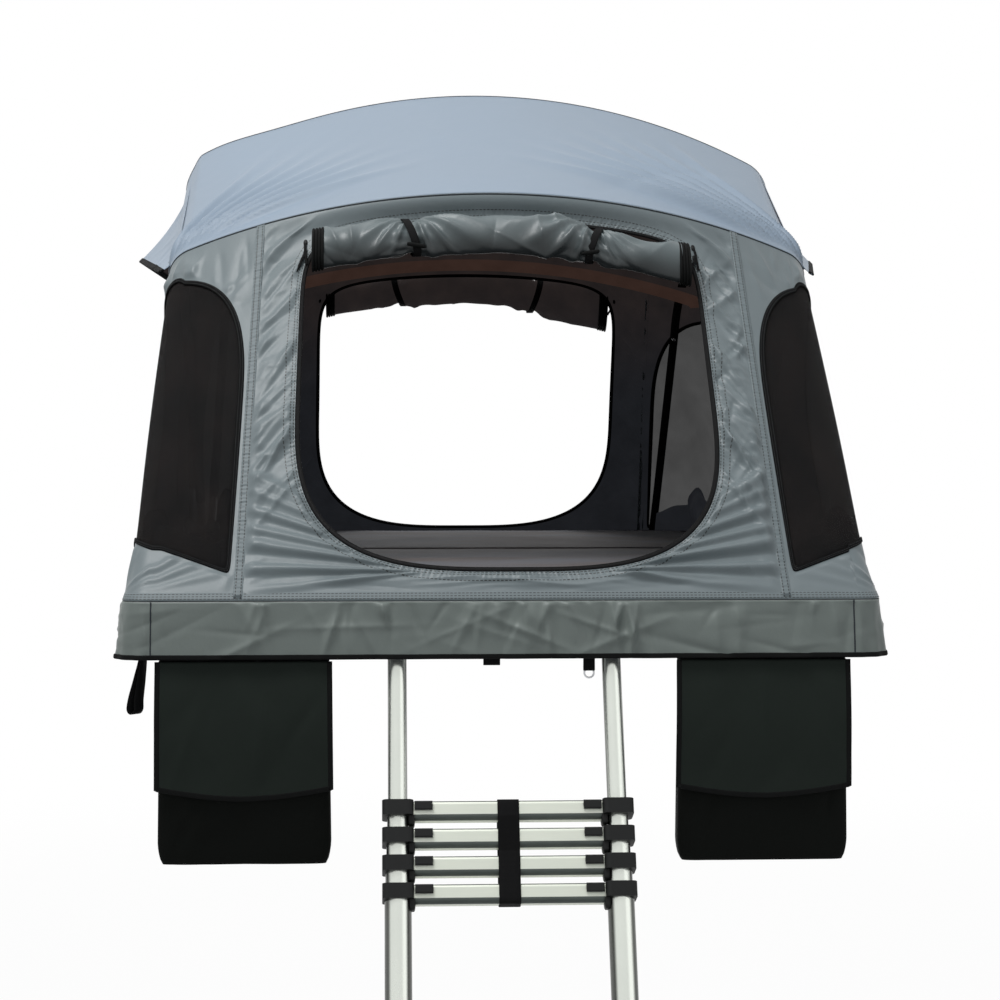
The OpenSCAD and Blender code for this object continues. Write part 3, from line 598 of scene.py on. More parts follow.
class Finishes:
    """Every finish of the tent, made once."""

    def __init__(self) -> None:
        """Make all the materials."""
        dark = srgb(52, 56, 56)
        pale = srgb(96, 98, 98)
        canvas = srgb(123, 133, 136)
        door_rows = Stitching((0.005, 0.011, 0.024), dark, 1.0, 0.0075, thick=0.0018)
        self.wall = Canvas("wall_canvas", canvas, rough=0.42, gloss=0.4, sheen=0.05).make()
        self.door_wall = Canvas("door_wall_canvas", canvas, rough=0.42, gloss=0.4, sheen=0.05,
                                pucker=(0.0007, 0.034), stitching=door_rows).make()
        # The rolled door: the wall's cloth at about four fifths of its brightness, as painted shade for the
        # roll under its arch, and with painted shade on its underside.
        self.door = Canvas("door_canvas", srgb(112, 122, 124), rough=0.38, gloss=0.4, sheen=0.03,
                           under=(0.07, 0.135)).make()
        # Lining and bow band glow at 0.42 of their colour: painted light for daylight through the cloth.
        self.lining = LiningCloth("lining_cloth", srgb(50, 52, 57), srgb(68, 58, 55), 0.42).make()
        self.bow_band = LiningCloth("bow_band_cloth", srgb(88, 66, 58), srgb(88, 66, 58), 0.42).make()
        self.roof = Canvas("roof_canvas", srgb(153, 168, 184), rough=0.46, crease=0.0008).make()
        self.skirt = Canvas("skirt_canvas", srgb(126, 134, 130), rough=0.45, crease=0.0016, gloss=0.35).make()
        self.seam = Canvas("seam_tape", canvas, crease=0.0004, pucker=(0.0006, 4.0),
                           stitching=Stitching((0.22, 0.78), dark, 0.018, 0.0075, thick=0.0018)).make()
        base_rows = Stitching((0.12, 0.45, 0.8), dark, 0.018, 0.0075, thick=0.0016)
        self.base_seam = Canvas("base_seam_tape", canvas, crease=0.0004, stitching=base_rows).make()
        self.net = InsectNet("insect_net", srgb(17, 18, 19)).make()
        self.binding = Webbing("black_binding", srgb(10, 10, 11), rough=0.85,
                               stitching=Stitching((0.3, 0.75), pale, 0.012, thick=0.0007)).make()
        self.piping = Webbing("black_piping", srgb(12, 13, 13)).make()
        self.thread_line = Webbing("seam_thread", srgb(58, 62, 66), rib=0.0045).make()
        self.webbing = Webbing("black_webbing", srgb(14, 14, 15)).make()
        self.zip = ZipTape("black_zip", srgb(14, 14, 15)).make()
        self.mattress = Canvas("mattress_cover", srgb(96, 97, 103), rough=0.85, sheen=0.2, grain=0.0003,
                               mottle=0.16, gloss=0.1, second=srgb(95, 86, 84)).make()
        self.bag = Canvas("bag_cloth", srgb(13, 15, 13), rough=0.75, sheen=0.02, gloss=0.08).make()
        self.flap = Canvas("flap_cloth", srgb(43, 49, 45), rough=0.7, sheen=0.03, crease=0.0008,
                           gloss=0.08).make()
        self.collar = Moulding("black_moulding", srgb(22, 23, 23), rough=0.55).make()
        self.rubber = Moulding("black_rubber", srgb(18, 18, 18), rough=0.75).make()
        # A grey moulding, used for the painted shade on each rung's lower edge and for the bead along its
        # top.
        self.rung_lip = Moulding("rung_lip", srgb(92, 98, 94), rough=0.5).make()
        # The tubes take painted shade along their sides, about middle lines 0.204 either side.
        self.tube = Alloy("ladder_tube", srgb(224, 228, 220), rough=0.24, metallic=0.75, bore=0.204).make()
        self.rung = Alloy("ladder_rung", srgb(240, 244, 230), rough=0.42, lines=(1.0, 40.0, 40.0),
                          metallic=0.3).make()
        self.frame = Alloy("edge_frame", (0.62, 0.63, 0.64), rough=0.42, lines=(1.0, 1.0, 40.0)).make()
        self.steel = Alloy("plated_steel", (0.55, 0.56, 0.58), rough=0.28).make()
        self.floor = Alloy("floor_face", (0.5, 0.51, 0.52), rough=0.5, lines=(30.0, 1.0, 1.0),
                           metallic=0.8).make()


class Maker:
    """Turns arrays of points into finished mesh pieces."""

    @staticmethod
    def quads(rows: int, cols: int, around: bool = False, ring: bool = False) -> Array:
        """Four corners of each cell of a grid.

        Args:
            rows: Rows of points.
            cols: Points to a row.
            around: Whether the last column meets the first.
            ring: Whether the last row meets the first.

        Returns:
            An array of point numbers, four to a face.
        """
        i = np.arange(rows if ring else rows - 1)[:, None]
        k = np.arange(cols if around else cols - 1)[None, :]
        below = i * cols
        above = ((i + 1) % rows) * cols
        after = (k + 1) % cols
        cells = stack(below + k, below + after, above + after, above + k)
        return cells.reshape(-1, 4)

    @staticmethod
    def piece(name: str, points: Array, faces: Sequence[Array], finishes: Sequence[Material],
              run: Array) -> Object:
        """Make a smooth mesh object at the origin.

        Args:
            name: The piece's name.
            points: Its points.
            faces: Sets of faces, each an array of point numbers.
            finishes: Its materials in slot order.
            run: UV values for each point.

        Returns:
            The new object.
        """
        mesh = bpy.data.meshes.new(name)
        mesh.from_pydata(points.reshape(-1, 3).tolist(), [], sum((part.tolist() for part in faces), []))
        layer = mesh.uv_layers.new(name="run")
        corners = np.empty(len(mesh.loops), np.int32)
        mesh.loops.foreach_get("vertex_index", corners)
        layer.data.foreach_set("uv", run.reshape(-1, 2)[corners].astype(np.float32).ravel())
        mesh.polygons.foreach_set("use_smooth", np.ones(len(mesh.polygons), bool))
        mesh.update()
        obj = bpy.data.objects.new(name, mesh)
        for finish in finishes:
            mesh.materials.append(finish)
        bpy.context.scene.collection.objects.link(obj)
        return obj

    @staticmethod
    def normals(grid: Array, middle: Array, around: bool = False) -> Array:
        """Unit normals of a grid of points, each turned away from a middle point.

        Args:
            grid: Points in rows and columns.
            middle: A point on the inner side.
            around: Whether the columns close on themselves.

        Returns:
            The normals, as the grid is laid out.
        """
        if around:
            wide = np.concatenate([grid[:, -2:], grid, grid[:, :2]], axis=1)
            along = np.gradient(wide, axis=1)[:, 2:-2]
        else:
            along = np.gradient(grid, axis=1)
        up = np.gradient(grid, axis=0)
        return away_from(middle, grid, unit(np.cross(along, up)))

    @staticmethod
    def facing(grid: Array, faces: Array, outward: Array) -> bool:
        """Whether faces look along the outward directions, taken together."""
        flat = grid.reshape(-1, 3)
        look = np.cross(flat[faces[:, 1]] - flat[faces[:, 0]], flat[faces[:, 3]] - flat[faces[:, 0]])
        return bool(np.sum(look * outward.reshape(-1, 3)[faces[:, 0]]) > 0)

    @staticmethod
    def cloth(name: str, grid: Array, outward: Array, finishes: Sequence[Material], thick: float,
              run: Array, around: bool = False) -> Object:
        """A sheet with thickness: the grid is its outer face, and its inner face takes the second finish.

        Args:
            name: The piece's name.
            grid: Points of the outer face.
            outward: Normals of the outer face.
            finishes: Outer and inner materials.
            thick: The sheet's thickness.
            run: UV values in metres.
            around: Whether the columns close on themselves.

        Returns:
            The new object.
        """
        rows, cols = grid.shape[:2]
        faces = Maker.quads(rows, cols, around)
        if not Maker.facing(grid, faces, outward):
            faces = faces[:, ::-1]
        obj = Maker.piece(name, grid, [faces], finishes, run)
        shell = obj.modifiers.new("thickness", "SOLIDIFY")
        shell.thickness = thick
        shell.offset = -1.0
        shell.material_offset = len(finishes) - 1
        shell.material_offset_rim = 0
        return obj

    @staticmethod
    def loft(name: str, grid: Array, finish: Material, run: Array,
             ring: bool = False) -> Object:
        """A closed form through rings of points, each end closed by a fan unless the rings meet end to end.

        Args:
            name: The piece's name.
            grid: Rings of points, one to a row.
            finish: The form's material.
            run: UV values for each point.
            ring: Whether the last ring meets the first.

        Returns:
            The new object.
        """
        rows, cols = grid.shape[:2]
        centre = grid.mean(axis=1, keepdims=True)
        faces = [Maker.quads(rows, cols, True, ring)]
        outward = Maker.facing(grid, faces[0], grid - centre)
        points = grid.reshape(-1, 3)
        marks = run.reshape(-1, 2)
        if not ring:
            k = np.arange(cols)
            after = np.roll(k, -1)
            top = (rows - 1) * cols
            faces.append(stack(np.full(cols, rows * cols), after, k))
            faces.append(stack(np.full(cols, rows * cols + 1), top + k, top + after))
            points = np.concatenate([points, centre[0], centre[-1]])
            marks = np.concatenate([marks, run[0].mean(axis=0)[None], run[-1].mean(axis=0)[None]])
        if not outward:
            faces = [part[:, ::-1] for part in faces]
        return Maker.piece(name, points, faces, [finish], marks)

    @staticmethod
    def band(name: str, path: Array, across: Array, outward: Array, profile: Array,
             finish: Material, closed: bool = False) -> Object:
        """Carry a closed profile along a path.

        Each profile point is a distance across and a distance out, measured at every point of the path. The
        UV run is metres along the path, and the share of the profile's width.

        Args:
            name: The piece's name.
            path: Points along the band.
            across: Unit directions across the band.
            outward: Unit directions out of the surface.
            profile: Pairs of across and out distances, going round once, for all the path or for each point.
            finish: The band's material.
            closed: Whether the path closes on itself.

        Returns:
            The new object.
        """
        shape = np.broadcast_to(profile, (len(path), *profile.shape[-2:]))
        grid = path[:, None] + across[:, None] * shape[..., :1] + outward[:, None] * shape[..., 1:]
        along = metres_along(path)
        width = shape[0, :, 0]
        share = (width - width.min()) / max(float(np.ptp(width)), 1e-9)
        run = stack(*np.broadcast_arrays(along[:, None], share[None, :]))
        return Maker.loft(name, grid, finish, run, closed)


def flat_profile(left: float, right: float, low: float, high: float) -> Array:
    """A band's section: a flat bar with eased edges, going round once.

    Args:
        left: Lowest distance across.
        right: Highest distance across.
        low: Lowest distance out.
        high: Highest distance out.

    Returns:
        Twelve pairs of across and out distances.
    """
    ease = 0.35 * (high - low)
    inset = min(ease, 0.3 * (right - left))
    first, middle, last = (mix(left, right, share) for share in (0.25, 0.5, 0.75))
    return np.array([
        [left, low + ease], [left + inset, low], [middle, low], [right - inset, low],
        [right, low + ease], [right, high - ease], [right - inset, high], [last, high],
        [middle, high], [first, high], [left + inset, high], [left, high - ease],
    ])


def strap_profile(half: float, thick: float) -> Array:
    """A flat section about its own middle, from half its width and half its thickness."""
    return flat_profile(-half, half, -thick, thick)


def round_profile(radius: float, count: int = 10, flat: float = 1.0) -> Array:
    """A round or oval section.

    Args:
        radius: Half the width across.
        count: Points round the section.
        flat: Share of the width that the section is thick.

    Returns:
        Pairs of across and out distances.
    """
    turn = circle(count)
    return stack(radius * np.cos(turn), radius * flat * np.sin(turn))


def smooth_path(knots: Sequence[Sequence[float]], count: int) -> Array:
    """A smooth curve through knots, by cubic pieces whose slopes are half the way between the neighbours.

    Args:
        knots: Points on the way.
        count: Points of the curve.

    Returns:
        The curve's points.
    """
    k = np.array(knots, float)
    slope = np.gradient(k, axis=0)
    t = np.linspace(0.0, len(k) - 1.0, count)
    i = np.minimum(t.astype(int), len(k) - 2)
    f = (t - i)[:, None]
    a = 2 * f**3 - 3 * f**2 + 1
    b = f**3 - 2 * f**2 + f
    c = -2 * f**3 + 3 * f**2
    d = f**3 - f**2
    return a * k[i] + b * slope[i] + c * k[i + 1] + d * slope[i + 1]


@dataclass(frozen=True)
class Creases:
    """Ridges in cloth: each is a bell along its line, and across it a bell, or a crest with a lower power."""

    seed: int
    count: int
    across: tuple[float, float]
    up: tuple[float, float]
    angle: tuple[float, float]
    length: tuple[float, float]
    width: tuple[float, float]
    height: tuple[float, float]
    power: float = 2.0

    def relief(self, s: Array, t: Array) -> Array:
        """Sum the ridges over a sheet.

        Args:
            s: Metres across the sheet.
            t: Metres up the sheet.

        Returns:
            Height of the relief at each place, in metres.
        """
        rng = np.random.default_rng(self.seed)
        spans = [self.across, self.up, self.angle, self.length, self.width, self.height]
        s0, t0, angle, length, width, height = (rng.uniform(low, high, self.count) for low, high in spans)
        turn = np.radians(angle)
        ds = s[..., None] - s0
        dt = t[..., None] - t0
        along = ds * np.cos(turn) + dt * np.sin(turn)
        across = dt * np.cos(turn) - ds * np.sin(turn)
        bells = np.exp(-(np.abs(across / width) ** self.power) - (along / length) ** 2)
        return np.sum(height * bells, axis=-1)


def fan(s: Array, t: Array, corner: tuple[float, float], angles: Sequence[float], spread: float, reach: float,
        height: float) -> Array:
    """Folds that run out from a corner: bells over the angle, widest at a share of their reach.

    Args:
        s: Metres across the sheet.
        t: Metres up the sheet.
        corner: Where the folds start.
        angles: Each fold's direction, in degrees.
        spread: Half width of a fold, in degrees.
        reach: How far the folds run.
        height: Height of a fold.

    Returns:
        Height of the relief at each place.
    """
    ds = s - corner[0]
    dt = t - corner[1]
    far = np.hypot(ds, dt) / reach
    turn = np.degrees(np.arctan2(dt, ds))
    window = far * np.exp(1.0 - far) * np.exp(-(far**4) * 0.2)
    bells = bell(turn[..., None] - np.array(angles), spread).sum(axis=-1)
    return height * window * bells


@dataclass(frozen=True)
class Bow:
    """A bow: its angle above the front, its arms' distance from the middle and its crown's from the axis.

    The puff is how far the cloth stands out from its arms.
    """

    angle: float
    arm: float
    crown: float
    puff: float = 0.0


@dataclass(frozen=True)
class TentForm:
    """The canopy's sizes, and its surfaces as functions of a place along the run and up the wall.

    The run goes from -1 to 1 across the tent: the crown or front edge takes the first 0.4 each way from the
    middle, the shoulder or corner up to 0.62, and the arm or side edge the rest, to the hub at the fold.
    """

    y_fold: float = -0.600
    seam_z: float = 0.0596
    axis_z: float = 0.159
    front_bow: Bow = Bow(46.0, 0.6594, 0.9935, 0.014)
    ridge_bow: Bow = Bow(90.0, 0.6809, 1.0150)
    rear_bow: Bow = Bow(134.0, 0.6379, 0.9720, 0.014)
    cloth_off: float = 0.01225
    crown_arc: float = 1.400
    shoulder: float = 0.070
    base_x: float = 0.7225
    base_d: float = 1.2006
    base_r: float = 0.0456
    hub_x: float = 0.722
    hub_r: float = 0.008
    pinch: float = 0.010
    crown_share: float = 0.40
    shoulder_share: float = 0.62
    seam_x: float = 0.522
    door_x: float = 0.426
    door_low: float = 0.065
    door_high: float = 0.93
    window_x: float = 0.545
    window_side: float = 0.31
    window_low: float = 0.07
    window_high: float = 0.912
    window_lift: float = 0.112
    skirt_drop: float = 0.107
    skirt_flare: float = 0.013
    eave_reach: float = 0.805
    eave_rise: float = 0.632

    @property
    def middle(self) -> Array:
        """A point inside the tent, for telling out from in."""
        return np.array([0.0, self.y_fold, self.axis_z + 0.15])

    @property
    def corner_mid(self) -> float:
        """The run's place at the tent's corner."""
        return 0.5 * (self.crown_share + self.shoulder_share)

    def share_of(self, x: float) -> float:
        """The run's place of a distance along the end's straight edge."""
        return self.crown_share * x / (self.base_x - self.base_r)

    @property
    def window_end(self) -> float:
        """The run's place of a corner window's far edge, on the side of the tent."""
        return mix(self.shoulder_share, 1.0, self.window_side)

    def bend_share(self, q: Array) -> Array:
        """Share of the way round the shoulder or corner."""
        return np.clip((q - self.crown_share) / (self.shoulder_share - self.crown_share), 0.0, 1.0)

    def arm_share(self, q: Array) -> Array:
        """Share of the way along the arm or side edge."""
        return np.clip((q - self.shoulder_share) / (1.0 - self.shoulder_share), 0.0, 1.0)

    def bow_of(self, end: End) -> Bow:
        """The bow that holds an end's wall up."""
        return self.front_bow if end is End.FRONT else self.rear_bow

    def bow_outline(self, bow: Bow, q: Array, off: float, hub: bool) -> tuple[Array, Array]:
        """One half of a bow in its own plane: a crown arc, a shoulder arc and a straight arm.

        Args:
            bow: The bow.
            q: Places on the run, from 0 to 1.
            off: Stand-off from the middle of the tube.
            hub: Whether the arm runs to the cloth's hub, or straight down as the tube does.

        Returns:
            Distances from the middle and from the axis.
        """
        x = bow.arm + off + (bow.puff if hub else 0.0)
        r = bow.crown + off
        bend = self.shoulder + off
        arc = self.crown_arc - self.ridge_bow.crown + bow.crown + off
        turn = math.asin((x - bend) / (arc - bend))
        arm_r = r - arc + (arc - bend) * math.cos(turn)
        crown = turn * q / self.crown_share
        bent = mix(turn, 0.5 * math.pi, self.bend_share(q))
        arm = self.arm_share(q)
        on_crown = q < self.crown_share
        on_bend = q < self.shoulder_share
        end_x, end_r = (self.hub_x, self.hub_r) if hub else (x, 0.03)
        across = np.where(on_crown, arc * np.sin(crown),
                          np.where(on_bend, x - bend + bend * np.sin(bent), mix(x, end_x, arm)))
        out = np.where(on_crown, r - arc + arc * np.cos(crown),
                       np.where(on_bend, arm_r + bend * np.cos(bent), mix(arm_r, end_r, arm)))
        return across, out

    def on_bow(self, bow: Bow, p: Array, off: float, hub: bool) -> Array:
        """A bow's outline turned to the bow's angle about the fold axis."""
        across, out = self.bow_outline(bow, np.abs(p), off, hub)
        turn = math.radians(bow.angle)
        y = self.y_fold - out * math.cos(turn)
        return stack(side_of(p) * across, y, self.axis_z + out * math.sin(turn))

    def bow_point(self, bow: Bow, p: Array, lift: float = 0.0) -> Array:
        """The cloth over a bow."""
        return self.on_bow(bow, p, self.cloth_off + lift, True)

    def bow_tube(self, bow: Bow, p: Array) -> Array:
        """The middle line of a bow's tube."""
        return self.on_bow(bow, p, 0.0, False)

    def metres(self, p: Array) -> Array:
        """Metres along the base's edge from the middle: the straight end, the round corner, then the side."""
        end = self.base_x - self.base_r
        turn = end + 0.5 * math.pi * self.base_r
        marks = (0.0, end, turn, turn + self.base_d - self.base_r)
        return np.sign(p) * np.interp(np.abs(p), (0.0, self.crown_share, self.shoulder_share, 1.0), marks)

    def base_outline(self, q: Array) -> tuple[Array, Array, Array, Array]:
        """One half of the base's edge: straight end, round corner, straight side to the fold.

        Args:
            q: Places on the run, from 0 to 1.

        Returns:
            Distances from the middle and the fold, and the outward direction's two parts.
        """
        turn = 0.5 * math.pi * self.bend_share(q)
        arm = self.arm_share(q)
        straight = (self.base_x - self.base_r) * np.minimum(q / self.crown_share, 1.0)
        across = straight + self.base_r * np.sin(turn)
        far = self.base_d - self.base_r * (1.0 - np.cos(turn))
        far = np.where(arm > 0, mix(self.base_d - self.base_r, 0.001, arm), far)
        return across, far, np.sin(turn), np.cos(turn)

    def wall(self, end: End, p: Array, v: Array) -> Array:
        """End wall and side triangles: straight from the base's edge to the bow, drawn in near the base.

        Args:
            end: Which end.
            p: Places on the run.
            v: Shares of the way up.

        Returns:
            Points on the cloth's inner face.
        """
        across, far, nx, nd = self.base_outline(np.abs(p))
        side = side_of(p)
        y = self.y_fold + end.value * far
        low = stack(side * across, y, np.full_like(across, self.seam_z))
        fade = np.minimum(1.0, (1.0 - np.abs(p)) / (1.0 - self.shoulder_share))
        draw = self.pinch * fade * (v / 0.17) * np.exp(1.0 - v / 0.17) * (1.0 - v)
        out = stack(side * nx, end.value * nd, np.zeros_like(nx))
        return mix(low, self.bow_point(self.bow_of(end), p), v[..., None]) - draw[..., None] * out

    def roof(self, end: End, p: Array, v: Array) -> Array:
        """Roof cloth from an end's bow to the ridge bow, straight but for a slight hollow between them."""
        flat = mix(self.bow_point(self.bow_of(end), p), self.bow_point(self.ridge_bow, p), v[..., None])
        hollow = 0.007 * np.sin(math.pi * v) * smooth(1.2 - np.abs(p))
        drop = stack(np.zeros_like(v), end.value * hollow * 0.4, -hollow)
        return flat + drop + self.fullness(p) * v[..., None]

    def fullness(self, p: Array) -> Array:
        """How far the cloth stands off the ridge at its left shoulder: a bell over the run, out and up."""
        puff = 0.016 * bell(p + 0.385, 0.075)
        return puff[..., None] * np.array([-0.5, 0.0, 0.87])

    def eave(self, side: Side, u: Array, v: Array) -> Array:
        """A side eave: from the roof's edge between the bows, out to a tip over the fold.

        Args:
            side: Which side.
            u: Places from the front end, -1, to the rear end, 1.
            v: Shares of the way from the roof to the hem.

        Returns:
            Points on the eave.
        """
        s = side.value
        p = np.full_like(u, s * (self.corner_mid - 0.02))
        q = np.full_like(u, s * (self.corner_mid + 0.08))
        rear = (u > 0)[..., None]
        reach = np.abs(u)[..., None]
        end = np.where(rear, self.bow_point(self.rear_bow, p), self.bow_point(self.front_bow, p))
        low = np.where(rear, self.bow_point(self.rear_bow, q), self.bow_point(self.front_bow, q))
        root = mix(self.bow_point(self.ridge_bow, p), end, reach * 0.92)
        root = root + np.array([s * 0.0024, 0.0, 0.0024])
        tip = np.array([s * self.eave_reach, self.y_fold, self.axis_z + self.eave_rise])
        hem = mix(tip, low + np.array([s * 0.022, 0.0, 0.0]), reach**1.1)
        sag = stack(np.zeros_like(v), np.zeros_like(v), -0.006 * np.sin(math.pi * v))
        return mix(root, hem, stack(v**1.6, v, v)) + sag

    def skirt(self, end: End, p: Array, v: Array) -> Array:
        """The skirt: down from the base's edge, flaring out, its folds growing towards the hem."""
        across, far, nx, nd = self.base_outline(np.abs(p))
        side = side_of(p)
        fold = 0.0025 * (1.0 + np.sin(np.radians(np.abs(p) * 4600.0 + side * 50.0))) / 2.0 * v
        out = self.skirt_flare * v + fold + 0.0026
        z = self.seam_z - 0.0006 - self.skirt_drop * v
        return stack(side * (across + out * nx), self.y_fold + end.value * (far + out * nd), z)


@dataclass(frozen=True)
class Panel:
    """A panel's first, middle and last place along the run and up the wall, and the opening in it.

    The opening's reaches are shares of the panel left, right, down and up from its middle, with one exponent
    for the roundness of its lower corners and one for the upper ones.
    """

    run: tuple[float, float, float]
    rise: tuple[float, float, float]
    reach: tuple[float, float, float, float]
    round_low: float
    round_high: float

    def edge_share(self, o: Array) -> Array:
        """Share of the way to the square's edge where the opening's edge lies: a superellipse by quarters."""
        a = np.where(o[..., 0] < 0, self.reach[0], self.reach[1])
        b = np.where(o[..., 1] < 0, self.reach[2], self.reach[3])
        n = np.where(o[..., 1] < 0, self.round_low, self.round_high)
        total = (np.abs(o[..., 0]) / a) ** n + (np.abs(o[..., 1]) / b) ** n
        return np.maximum(total, 1e-9) ** (-1.0 / n)

    def place(self, o: Array) -> tuple[Array, Array]:
        """Turn points of the square into places along the run and up the wall."""
        x = o[..., 0]
        y = o[..., 1]
        p = np.where(x < 0, mix(self.run[1], self.run[0], -x), mix(self.run[1], self.run[2], x))
        v = np.where(y < 0, mix(self.rise[1], self.rise[0], -y), mix(self.rise[1], self.rise[2], y))
        return p, v

    def around(self, count: int, rows: int) -> tuple[Array, Array]:
        """Places of the cloth round the opening: rings from the opening's edge out to the panel's edge."""
        t = np.linspace(-1.0, 1.0, count, endpoint=False)
        one = np.ones_like(t)
        sides = ((t, -one), (one, t), (-t, one), (-one, -t))
        square = np.concatenate([stack(*side) for side in sides])
        share = self.edge_share(square)
        level = np.linspace(0.0, 1.0, rows)[:, None] ** 1.3
        scale = mix(share[None, :], 1.0, level)
        return self.place(square[None] * scale[..., None])

    def inside(self, cols: int, rows: int, grow: float) -> tuple[Array, Array]:
        """Places that fill the opening: a square grid pushed out to the opening's edge."""
        x, y = np.meshgrid(np.linspace(-1.0, 1.0, cols), np.linspace(-1.0, 1.0, rows))
        o = stack(x, y)
        far = np.maximum(np.max(np.abs(o), axis=-1, keepdims=True), 1e-6)
        return self.place(o * self.edge_share(o / far)[..., None] * grow)


@dataclass
class Piecework:
    """What every sub-assembly shares: the tent's form, its finishes, and how pieces join the moving frame."""

    form: TentForm
    finishes: Finishes

    def fix(self, obj: Object, body: str, slot: str, *replaced: str) -> Object:
        """Put a piece on a body and hide what it stands for.

        Args:
            obj: The piece.
            body: The body it rides on.
            slot: Not used.
            replaced: Solids that it stands for.

        Returns:
            The piece.
        """
        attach(obj, body)
        if replaced:
            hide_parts(*replaced)
        LOG.info("%s rides on %s", obj.name, body)
        return obj

    def fold_flat(self, obj: Object) -> None:
        """Give an end's cloth its own copy of its mesh."""
        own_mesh(obj)

    def sew(self, obj: Object, end: End, slot: str, *replaced: str) -> None:
        """Fix a piece to an end's base half and give it its own copy of its mesh."""
        self.fix(obj, end.body, slot, *replaced)
        self.fold_flat(obj)

    def gather(self, obj: Object) -> None:
        """Give roof cloth its own copy of its mesh."""
        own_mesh(obj)

    def sheet(self, obj: Object, grid: Array, held: str, rests_on: Sequence[str],
              around: bool = False, flat: tuple[float, float] | None = None) -> None:
        """Log a cloth's cut size: the longest run across and up the sheet, and its own area.

        Args:
            obj: The cloth.
            grid: Points of its face.
            held: Not used.
            rests_on: Not used.
            around: Whether the columns close on themselves.
            flat: Cut width and length, where the grid's rows don't give them.
        """
        face = np.concatenate([grid, grid[:, :1]], axis=1) if around else grid
        a = face[:-1, :-1]
        first = np.linalg.norm(np.cross(face[:-1, 1:] - a, face[1:, 1:] - a), axis=-1)
        second = np.linalg.norm(np.cross(face[1:, 1:] - a, face[1:, :-1] - a), axis=-1)
        area = float(0.5 * (first + second).sum())
        if flat is None:
            wide = float(np.linalg.norm(np.diff(face, axis=1), axis=-1).sum(axis=1).max())
            long = float(np.linalg.norm(np.diff(face, axis=0), axis=-1).sum(axis=0).max())
            flat = (wide, long)
        LOG.info("%s is cut from %.2f by %.2f m, %.3f square metres", obj.name, *flat, area)
        min(area, flat[0] * flat[1])


